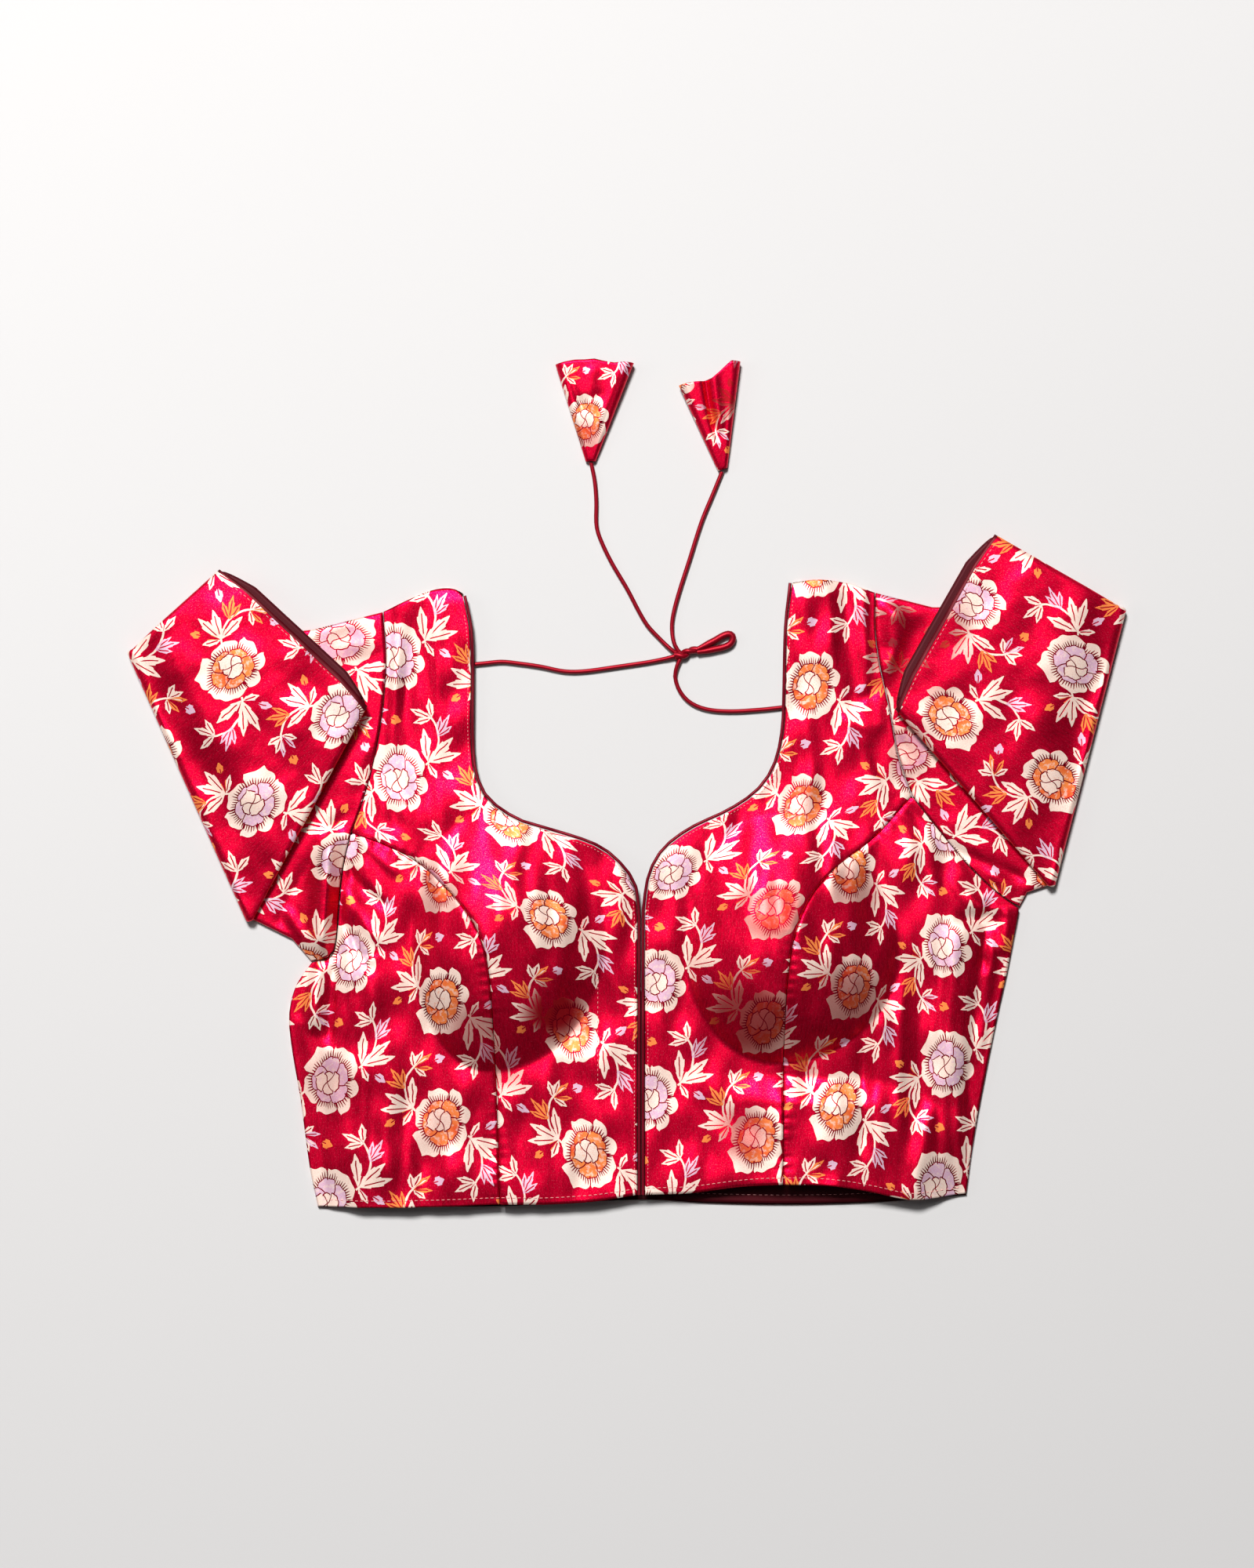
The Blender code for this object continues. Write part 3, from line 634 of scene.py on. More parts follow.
def flatRing(width, half, count):
    # Section of a flattened tube with round sides: places across it and heights, and which are on top and below
    steps = half + (width - 2 * half) * np.arange(count + 1) / count
    bend, flat = np.radians([60, 30, 0, -30, -60]), np.ones(count + 1)
    distance = np.concatenate([steps, width - half + half * np.cos(bend), steps[::-1], half - half * np.cos(bend)])
    lift = half * np.concatenate([flat, np.sin(bend), -flat, -np.sin(bend)])
    return distance, lift, lift >= half - 1e-6, lift <= -half + 1e-6


def tubeAlong(name, line, radius, material, around=12, thickness=None):
    # Round cord as a curve of one open spline
    curve = bpy.data.curves.new(name, "CURVE")
    curve.dimensions = "3D"
    curve.bevel_depth = radius * mm
    curve.bevel_resolution = around // 4
    curve.use_fill_caps = True
    spline = curve.splines.new("POLY")
    spline.points.add(len(line) - 1)
    spline.points.foreach_set("co", np.ravel([(*placed(*point), 1) for point in line]))
    if thickness is not None:
        spline.points.foreach_set("radius", thickness)
    spline.use_smooth = True
    curve.materials.append(material)
    return inScene(name, curve)


stitches = {  # pitch, length and radius
    "neck": (2.4, 1.4, 0.17), "placket": (3.0, 1.7, 0.17), "hem": (3.4, 2.3, 0.2), "sleeve": (3.2, 2.1, 0.2),
    "facing": (3.6, 2.3, 0.2),
}


def addStitches(name, line, kind):
    # Row of short raised threads along a line, as one mesh
    pitch, length, radius = stitches[kind]
    starts = np.arange(pitch * 0.4, lengthsAlong(line)[-1] - length, pitch)
    spines = alongLine(line, starts[:, None] + length * np.array([0.0, 0.18, 0.5, 0.82, 1.0]))
    along = unit(spines[:, -1] - spines[:, 0])
    aside = unit(np.cross(along, (0, 0, 1.0)))
    above = np.cross(aside, along)
    rings, sixths = len(spines[0]), 2 * math.pi * np.arange(6) / 6
    thick = radius * np.array([0.35, 0.9, 1.0, 0.9, 0.35])[:, None]
    lift = np.array([-0.15, 0.1, 0.22, 0.1, -0.15])[:, None]
    points = (spines[:, :, None] + aside[:, None, None] * (thick * np.cos(sixths))[..., None]
              + above[:, None, None] * (thick * np.sin(sixths) + lift)[..., None])
    ends = [tuple(reversed(range(6))), tuple(range(6 * rings - 6, 6 * rings))]
    one = gridFaces(rings, 6, around=True).tolist() + ends
    faces = [tuple(6 * rings * k + corner for corner in face) for k in range(len(starts)) for face in one]
    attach(newPiece(name, points.reshape(-1, 3), faces, [threadWhite]), "root")


# Tie cords, along the same routes as the model's: node, where the far end goes, and the route
doris = {"radius": 1.3, "loopRadius": 2.1, "clear": 0.05, "knotRise": 0.9, "step": 3.4, "loopStep": 1.5,
         "pinch": 0.72}
cordRoutes = {
    "doriLeft": ("dori_left", "knot", [
        (-108.1, 339), (-98, 340), (-87, 341), (-77, 340), (-63, 338), (-48, 335), (-36, 335), (-14, 338), (6, 341),
        (16.5, 343.2), (22.6, 344.9)]),
    "doriRight": ("dori_right", "knot", [
        (91.8, 313), (84, 312), (74, 311), (55, 310), (40, 311.5), (30, 316), (24, 323), (21.3, 331), (21.9, 336.5),
        (23.4, 340.6), (25.4, 344.6)]),
    "doriTailLeft": ("dori_tail_left", "object", [
        (23.4, 345.4), (19.0, 348.4), (12, 355), (3, 365), (-9, 387), (-19, 404), (-26, 419), (-28, 427), (-28, 441),
        (-29, 454), (-31.3, 465.5)]),
    "doriTailRight": ("dori_tail_right", "object", [
        (25.0, 345.8), (21.6, 350.2), (19.6, 357), (19.5, 367), (23, 382), (30, 404), (38, 429), (45, 446),
        (50.55, 459.6)]),
    "doriBowLoop": ("dori_bow_loop", "object", [
        (34.2, 348.4), (40.8, 351.6), (46.4, 354.5), (51.3, 357.3), (54.8, 358.3), (57.0, 357.2), (57.2, 354.4),
        (55.0, 351.6), (51.0, 349.9), (46.4, 348.9), (40.8, 347.7), (35.0, 346.9)]),
}
knot = {"middle": (28.2, 346.4, 2.9), "turned": 15, "long": 14.6, "wide": 1.25, "sway": 0.7, "radius": 1.7}


def knotStrand(k):
    # One of two strands wound round each other where the bow is tied
    share = np.linspace(0, 1, 40)
    turn = 2 * math.pi * (1.15 * share + k / 2)
    wide = knot["wide"] * (0.5 + 0.5 * np.sin(math.pi * np.minimum(share * 1.2, 1)))
    along, aside = (share - 0.5) * knot["long"], wide * np.cos(turn) - knot["sway"] * np.sin(2 * math.pi * share)
    cos, sin = math.cos(math.radians(knot["turned"])), math.sin(math.radians(knot["turned"]))
    line = np.column_stack([along * cos - aside * sin, along * sin + aside * cos, wide * 0.8 * np.sin(turn)])
    strand = tubeAlong(f"knotStrand{k + 1}", line + knot["middle"], knot["radius"], cordSatin, 16)
    return dressed(strand, "dori_knot" if k == 0 else None)


knotStrands = [knotStrand(0), knotStrand(1)]
for cordName, (node, farEnd, stops) in cordRoutes.items():
    isLoop = cordName == "doriBowLoop"
    radius, step = (doris["loopRadius"], doris["loopStep"]) if isLoop else (doris["radius"], doris["step"])
    plan = smoothLine(stops)
    rise = doris["knotRise"] * (1 - easeBetween(np.linalg.norm(plan - knotPlace, axis=1), 8, 18))
    route = np.column_stack([plan, radius + doris["clear"] + rise])
    long = lengthsAlong(route)[-1]
    route = evenly(route, round(long / step) + 1)
    fromKnot = np.linalg.norm(route[:, :2] - knotPlace, axis=1)
    pinched = mixValues(doris["pinch"], 1.0, easeBetween(fromKnot, 9, 17)) if isLoop else None
    cordPiece = dressed(tubeAlong(cordName, route, radius, cordSatin, 16, pinched), node)
    placed(*route[0])
    2 * radius * mm
    knotStrands if farEnd == "knot" else []
print("cords ready")


# Cut of the blouse
frontEdge = {
    "left": [(-0.2, 9), (-0.2, 90), (-0.2, 176), (-0.4, 185), (-3, 203), (-14, 218), (-28, 228), (-58, 238),
             (-77, 244), (-95, 257), (-102, 272), (-104, 292), (-104, 338), (-105, 363), (-109, 382)],
    "right": [(0.2, 9), (0.2, 90), (0.2, 178), (0.4, 187), (4, 209), (13, 225), (30, 238), (55, 250), (72, 262),
              (82, 277), (87, 299), (88, 323), (89, 363), (92, 390)],
}
princess = {
    "left": [(-88, 3), (-90, 69), (-92, 118), (-94, 147), (-98, 166), (-107, 184), (-122, 201), (-141, 217),
             (-161, 227), (-181, 234)],
    "right": [(88, 16), (89, 118), (91, 152), (96, 176), (105, 195), (121, 213), (144, 230), (169, 257)],
}
armholeOver = {
    "left": [(-181, 234), (-175, 250), (-169, 270), (-164, 293), (-161, 314), (-159, 343), (-161, 372)],
    "right": [(169, 257), (161, 280), (155, 311), (149, 338), (146, 360), (146, 384)],
}
armholeUnder = {
    "left": [(-206, 153), (-199, 155), (-192.5, 158.5), (-190, 168), (-188.5, 188), (-186, 212), (-181, 234)],
    "right": [(236, 187), (222, 197), (206, 212), (188, 233), (169, 257)],
}
sideSeam = {
    "left": [(-202, 1), (-207, 25), (-213, 69), (-218, 98), (-220, 120), (-216, 138), (-206, 153)],
    "right": [(203, 9), (207, 39), (214, 78), (224, 127), (229, 149), (233, 171), (236, 187)],
}
hemCentre = {"left": [(-0.2, 9), (-28, 5), (-58, 3), (-88, 3)], "right": [(0.2, 9), (30, 10), (60, 14), (88, 16)]}
hemSide = {"left": [(-88, 3), (-146, 1), (-202, 1)],
           "right": [(88, 16), (119, 15), (143, 11), (168, 6), (203, 9)]}
shoulder = {"left": [(-109, 382), (-116, 386), (-128, 386), (-144, 380), (-161, 372)],
            "right": [(92, 390), (109, 392), (128, 390), (146, 384)]}
backHem = [(203, 8), (170, 5), (138, 3), (89, 2), (40, 3), (0, 5), (-87, 1), (-202, 0.5)]
backNeckLow = [(-106, 250), (-92, 190), (-60, 150), (-5, 135), (50, 150), (80, 190), (92, 250), (93, 285)]
outer = {side: sideSeam[side] + armholeUnder[side][1:] + armholeOver[side][1:] for side in sides}

sewing = {"wall": 1.3, "backWall": 1.2, "sleeveWall": 1.2, "facingWall": 1.0, "seamGap": 0.3, "armholeSlack": 0.3,
          "underarmLift": 1.0, "pipingRadius": 1.0, "facingDepth": 22.0, "facingSet": 0.8, "pucker": 0.55,
          "neckRow": 4.0, "hemRow": 4.2, "placketRow": -27.0, "facingRow": 6.0, "threadRise": 0.02, "trimmed": 1.2}
lie = {"armholeHeight": 3.8, "sideHeight": 2.9, "bodyPuff": 3.2, "strapPuff": 1.2, "sideRoll": 34.0,
       "shoulderRoll": 9.0, "lowest": 2.9, "strapRise": 1.6, "hemRise": 2.0, "strapTops": (386, 391)}

# Padded cups, with the left one's dent
Cup = namedtuple("Cup", "across up height left right down above lowerSoftness")
cups = [Cup(85, 161, 26, 57, 75, 70, 86, 0.88), Cup(-95, 171, 20, 48, 73, 85, 77, 0.92),
        Cup(-40, 121, -4, 30, 30, 28, 34, 1.5)]

# Folds, in rows of these columns: a positive height is a ridge, a negative one a trough, and steep is the right
# side's share of the width
Fold = namedtuple("Fold", "across up toAcross toUp bow height width steep", defaults=[1.0])
mainFolds = [
    (-174, 226, -168, 116, 0, 2.6, 8), (-205, 150, -213, 100, 2, 1.6, 6), (-157, 112, -159, 14, 0, 2.2, 9),
    (-134, 124, -137, 10, 2, -2.0, 8), (-113, 108, -115, 14, 0, 1.8, 9), (-58, 92, -64, 10, 0, 1.4, 10),
    (105, 8, 108, 74, 0, 7.0, 46), (169, 4, 178, 60, 0, 2.4, 7), (152, 124, 149, 30, 0, 2.0, 9),
    (175, 150, 176, 60, 0, -2.2, 8), (196, 168, 192, 26, 2, 2.2, 9), (212, 160, 205, 70, 0, -1.8, 6),
    (198, 181, 233, 180, 0, -2.4, 5), (127, 384, 133, 312, 0, -1.5, 5), (-140, 372, -150, 300, 0, -1.2, 6),
]
edgeFolds = [  # folds that run out over the edge
    (-191, 152, -194, 104, 1, -2.4, 3.4), (-201, 152, -203, 112, 1, 2.6, 4.0), (-210, 148, -212, 118, 1, -1.6, 3.0),
    (-183, 190, -179, 120, 1, 1.6, 4.0), (228, 186, 226, 160, 0, 2.2, 4.0), (217, 190, 214, 150, 1, -2.6, 3.2),
]
fineFolds = [
    # fan from the left armhole
    (-184, 214, -158, 188, 2, -1.1, 3.2), (-187, 200, -162, 166, 2, 1.1, 3.6), (-188, 184, -168, 148, 1, -1.2, 3.0),
    (-176, 232, -150, 208, 1, 0.9, 3.4),
    # soft ripples over the left hem
    (-172, 96, -174, 12, 1, 0.9, 4.0), (-146, 104, -149, 20, -1, -0.9, 3.6), (-100, 60, -101, 8, 0, 0.7, 4.5),
    (-196, 92, -198, 8, 1, -0.8, 4.5), (-72, 60, -76, 10, 1, -0.6, 5.0), (-30, 74, -34, 12, 0, 0.6, 6.0),
    # left strap and shoulder
    (-124, 380, -127, 320, 1, 0.8, 4.0), (-152, 360, -156, 290, 0, 0.9, 4.0), (-116, 330, -122, 268, 1, -0.6, 5.0),
    (-160, 262, -150, 236, 0, -0.7, 4.0),
    # right side ripples
    (140, 116, 138, 40, 0, -1.1, 4.0), (163, 140, 161, 52, 1, 1.2, 3.6), (186, 160, 184, 40, -1, -1.2, 3.8),
    (204, 150, 198, 24, 1, 1.0, 3.8), (220, 166, 212, 100, 1, 1.1, 3.6), (190, 100, 196, 12, 0, -1.0, 4.0),
    (204, 196, 226, 178, 1, 1.0, 3.0), (186, 206, 214, 176, 2, -1.0, 3.4),
    # right strap
    (117, 384, 121, 330, 0, 0.7, 3.6), (139, 380, 141, 316, 0, 0.8, 3.6), (136, 316, 154, 330, 0, -0.9, 3.4),
    (124, 306, 150, 300, 2, 0.7, 4.0), (142, 290, 154, 262, 1, -0.8, 4.0),
]


def uneven(x, y, seed, wavelength, height, count=9):
    # Broad, quiet unevenness of lined cloth, as a sum of slanting waves
    draw = np.random.default_rng(seed)
    total = np.zeros(np.shape(x))
    for _ in range(count):
        angle, phase, stretch = draw.uniform(0, math.pi), draw.uniform(0, 2 * math.pi), draw.uniform(0.7, 1.5)
        k = 2 * math.pi / (wavelength * stretch)
        total += np.sin(k * (x * math.cos(angle) + y * math.sin(angle)) + phase)
    return total * height / math.sqrt(count)


def domeAt(cup, x, y):
    across = (x - cup.across) / np.where(x < cup.across, cup.left, cup.right)
    along = (y - cup.up) / np.where(y < cup.up, cup.down, cup.above)
    softness = mixValues(cup.lowerSoftness, 1.5, easeBetween(along, -0.35, 0.45))
    return cup.height * np.maximum(1 - across ** 2 - along ** 2, 0) ** softness


def foldsAt(rows, x, y):
    total = 0
    for fold in (Fold(*row) for row in rows):
        runX, runY = fold.toAcross - fold.across, fold.toUp - fold.up
        long = math.hypot(runX, runY)
        share = ((x - fold.across) * runX + (y - fold.up) * runY) / long ** 2
        aside = ((x - fold.across) * runY - (y - fold.up) * runX) / long - fold.bow * 4 * share * (1 - share)
        ends = easeBetween(share, -0.14, 0.14) * (1 - easeBetween(share, 0.86, 1.14))
        width = np.where(aside < 0, fold.width * fold.steep, fold.width)
        total = total + fold.height * ends * np.exp(-((aside / width) ** 2))
    return total


def edgeAt(points, up):
    across, ups = np.transpose(points)
    return np.interp(up, ups, across)


def frontHeight(x, y):
    inside = np.minimum(x - edgeAt(outer["left"], y), edgeAt(outer["right"], y) - x)
    puff = lie["bodyPuff"] * (1 - easeBetween(y, 215, 300))
    puff = puff + lie["strapPuff"] * easeBetween(np.where(x < 0, *lie["strapTops"]) - y, 0, lie["shoulderRoll"])
    puff = puff + lie["strapRise"] * easeBetween(y, 265, 385) + lie["hemRise"] * (1 - easeBetween(y, 0, 75))
    low = mixValues(lie["sideHeight"], lie["armholeHeight"], easeBetween(y, 150, 178))
    height = low + (puff + lie["armholeHeight"] - low) * easeBetween(inside, 0, lie["sideRoll"])
    height = height + sum(domeAt(cup, x, y) for cup in cups)
    for folds, margin in ((mainFolds, 14), (fineFolds, 6), (edgeFolds, 3.5)):
        height = height + easeBetween(inside, 0, margin) * foldsAt(folds, x, y)
    lumps = uneven(x, y / 1.5, 3, 30, 0.6) + uneven(x, y / 2.6, 8, 12, 0.25) + uneven(x, y / 5, 14, 15, 0.3)
    return np.maximum(height + easeBetween(inside, 0, 9) * lumps, lie["lowest"])


def overFront(row):  # a row of thread that lies on the front
    return np.column_stack([row, frontHeight(*row.T) + sewing["threadRise"]])


# Where each panel was cut: the place of one column of orange roses on it, from the top down
roseColumns = {
    "CentreLeft": [(-86, 394.6), (-84, 318.6), (-82, 242.6), (-56.4, 182.3), (-43.1, 112.7), (-32.3, 34.3),
                   (-24, -42)],
    "SideLeft": [(-124, 282), (-124, 206), (-124, 129.9), (-124, 53.9), (-124, -22)],
    "CentreRight": [(110, 402), (106.3, 325.9), (101.4, 249.9), (81.8, 188.7), (77, 117.6), (72, 44.1), (68, -32)],
    "SideRight": [(128, 286), (130.8, 210.7), (133.3, 139.7), (122.5, 64.7), (118, -12)],
}
lilacColumns = {  # where folds draw the next column closer
    "SideLeft": [(-190, 240), (-180, 200), (-178, 157), (-186, 120), (-194, 79), (-195, -20)],
    "SideRight": [(192, 250), (188, 173.5), (191, 97), (185, 20.6)],
}


def cutFrom(panel, x, y):
    # Place on the uncut cloth of points on a panel
    column = np.array(roseColumns[panel][::-1])
    steps = -brocade["repeat"] * np.arange(len(column))[::-1]
    away = x - edgeAt(column, y)
    if panel in lilacColumns:
        gap = edgeAt(lilacColumns[panel][::-1], y) - (x - away)
        wide = np.sign(gap) * brocade["column"]
        share = away / gap
        away = np.where(share < 0, away, np.where(share > 1, wide + away - gap, wide * share))
    return np.stack([away, np.interp(y, column[:, 1], steps)], axis=-1)


def trimmedEnd(line):
    run = lengthsAlong(line)
    end = run[-1] - sewing["trimmed"]
    return alongLine(line, np.append(run[run < end - 0.5], end))


def panelPlan(outerLine, innerLine, hem, top, columns):
    along = np.linspace(0, 1, columns)[None, :, None]
    share = np.linspace(0, 1, len(outerLine))[:, None, None]
    plan = outerLine[:, None] * (1 - along) + innerLine[:, None] * along
    plan = (plan + (evenly(hem, columns) - plan[0]) * (1 - share) ** 4
            + (evenly(top, columns) - plan[-1]) * share ** 6)
    return plan if outerLine[0][0] < innerLine[0][0] else plan[:, ::-1]


def seamPucker(plan, seam):
    # Cloth dips to a seam and puckers a little along it
    away, which = nearestOn(plan.reshape(-1, 2), seam)
    place = lengthsAlong(seam)[which]
    wave = np.sin(place * 2 * math.pi / 6.3 + 1.7 * np.sin(place / 23)) * (0.6 + 0.4 * np.sin(place / 17))
    dip = 0.22 * wave * np.exp(-(away / 5.0) ** 2) - sewing["pucker"] * np.exp(-(away / 1.7) ** 2)
    return dip.reshape(plan.shape[:2])


grain = {"Centre": (226, 61), "Side": (271, 81)}  # rows and columns of points


def addPanel(part, side, outerLine, innerLine, hem, top):
    rows, columns = grain[part]
    plan = panelPlan(evenly(outerLine, rows), evenly(innerLine, rows), hem, top, columns)
    x, y = plan[..., 0], plan[..., 1]
    z = frontHeight(x, y) + seamPucker(plan, smoothLine(princess[side], 30))
    cut = cutFrom(part + side.capitalize(), x, y)
    panel = clothGrid(f"front{part}{side.capitalize()}", np.stack([x, y, z], axis=-1), cut, sewing["wall"],
                      [brocadeCloth, liningCloth])
    dressed(panel, f"front_{part.lower()}_{side}")
    declareSheet(panel)


def makeFront(side, hand):
    name, gap = side.capitalize(), hand * sewing["seamGap"] / 2
    princessLine = drawn(princess[side], 30)
    edgeLine = drawn(frontEdge[side], 46)
    seam = shifted(np.vstack([princessLine, drawn(armholeOver[side], 17)[1:]]), -gap)
    piped = shifted(edgeLine, hand * 2 * sewing["pipingRadius"] + 2 * gap)
    addPanel("Centre", side, seam, piped, between(seam[0], hemCentre[side][::-1], piped[0]),
             between(seam[-1], shoulder[side][::-1], piped[-1]))

    border = np.vstack([drawn(sideSeam[side], 19), drawn(armholeUnder[side], 12)[1:]])
    border, inner = shifted(border, -gap), shifted(princessLine, gap)
    hem = between(border[0], hemSide[side][::-1], inner[0])
    border, inner = trimmedEnd(border), trimmedEnd(inner)
    addPanel("Side", side, border, inner, hem, np.array([border[-1], inner[-1]]))

    pipe = evenly(shifted(edgeLine, hand * sewing["pipingRadius"]), 230)
    pipeLine = np.column_stack([pipe, frontHeight(*pipe.T) - sewing["wall"] / 2])
    dressed(tubeAlong(f"neckPiping{name}", pipeLine, sewing["pipingRadius"], pipingSatin),
            f"neck_piping_{side}")

    neckRow = evenly(shifted(edgeLine, hand * sewing["neckRow"])[:-1], 400)
    addStitches(f"neckStitches{name}", overFront(neckRow), "neck")
    hemRow = np.array(hemSide[side][::-1] + hemCentre[side][::-1][1:]) + (0, sewing["hemRow"])
    addStitches(f"hemStitches{name}", overFront(drawn(hemRow, 400))[6:-6], "hem")
    if side == "left":
        row = np.column_stack([np.full(160, sewing["placketRow"]), np.linspace(148, 69, 160)])
        addStitches("placketStitches", overFront(row), "placket")


for blouseSide, blouseHand in sides.items():
    makeFront(blouseSide, blouseHand)
print("front ready")


# Sleeves: flattened tubes folded back over themselves
SleeveCut = namedtuple("SleeveCut", "capTop capUnder foldTop foldUnder hemTop hemUnder out")
sleeveCuts = {
    "left": SleeveCut((-205, 361), (-218, 168), (-321, 347), (-246, 178), (-262, 398), (-170, 313), (-0.914, -0.405)),
    "right": SleeveCut((182, 375), (241, 197), (303, 374), (258, 200), (220, 420), (158, 311), (0.967, -0.252)),
}
fold = {"half": 1.9, "gap": 1.2, "puff": 3.4, "band": 7.0, "taper": 24.0, "strip": 2.6, "lift": 2.4,
        "tilt": {"left": 0.030, "right": 0.016}, "facingBack": 0.6, "stitchInset": 1.3, "capAt": 0.35, "capBow": 0.55}
foldRadius = fold["half"] + fold["gap"] / 2
ringCount = {"under": 64, "turn": 13, "flap": 64, "across": 72}

# Folds of the sleeves, over their own widths: the part by the armhole, and the flap
capFolds = {
    "left": [(-193.5, 230, -198.5, 160, 0, 11.5, 9.5, 0.60), (-184, 246, -226, 178, 3, -1.6, 4.5),
             (-222, 186, -208, 162, -1, 1.6, 3.5), (-166, 300, -180, 262, 0, 0.9, 5),
             (-170, 352, -196, 344, 1, 0.8, 5)],
    "right": [(157, 394, 158, 326, 0, 3.8, 8), (160, 300, 214, 214, 3, -1.4, 4), (168, 280, 228, 200, 3, 1.6, 5),
              (192, 226, 240, 206, 1, -1.5, 3.6), (152, 372, 190, 366, 1, 0.9, 6), (150, 350, 172, 344, 0, -0.8, 5)],
}
flapFolds = {
    "left": [(-300, 330, -232, 210, 2, -1.0, 9), (-268, 372, -212, 288, -4, 1.2, 14),
             (-240, 236, -204, 268, 0, -1.0, 8), (-286, 300, -246, 286, 0, 0.8, 10),
             (-214, 330, -186, 302, 0, -0.7, 9)],
    "right": [(232, 398, 286, 352, 3, 1.2, 14), (286, 350, 264, 250, 2, -1.0, 8), (190, 330, 252, 300, -3, 0.9, 12),
              (220, 270, 256, 214, 0, -1.1, 8), (240, 350, 226, 300, 0, -0.7, 10)],
}
# Cloth of the caps and flaps: where one orange rose lies, and which way the pattern runs up, in degrees
capCloth = {"left": ((-137.9, 422.8), 0.9), "right": ((109.1, 221.7), 175.0)}
flapCloth = {"left": ((-253.8, 335.7), 46.0), "right": ((192.1, 306.3), 149.0)}


def cutTurned(cloth, plan):
    # Place on uncut cloth that lies turned, with an orange rose at a known spot
    spot, angle = cloth
    cos, sin = math.cos(math.radians(angle)), math.sin(math.radians(angle))
    return (plan - np.array(spot)) @ np.array([[sin, cos], [-cos, sin]])


def armholeWhole(side):
    return np.vstack([smoothLine(armholeUnder[side]), smoothLine(armholeOver[side])[1:]])


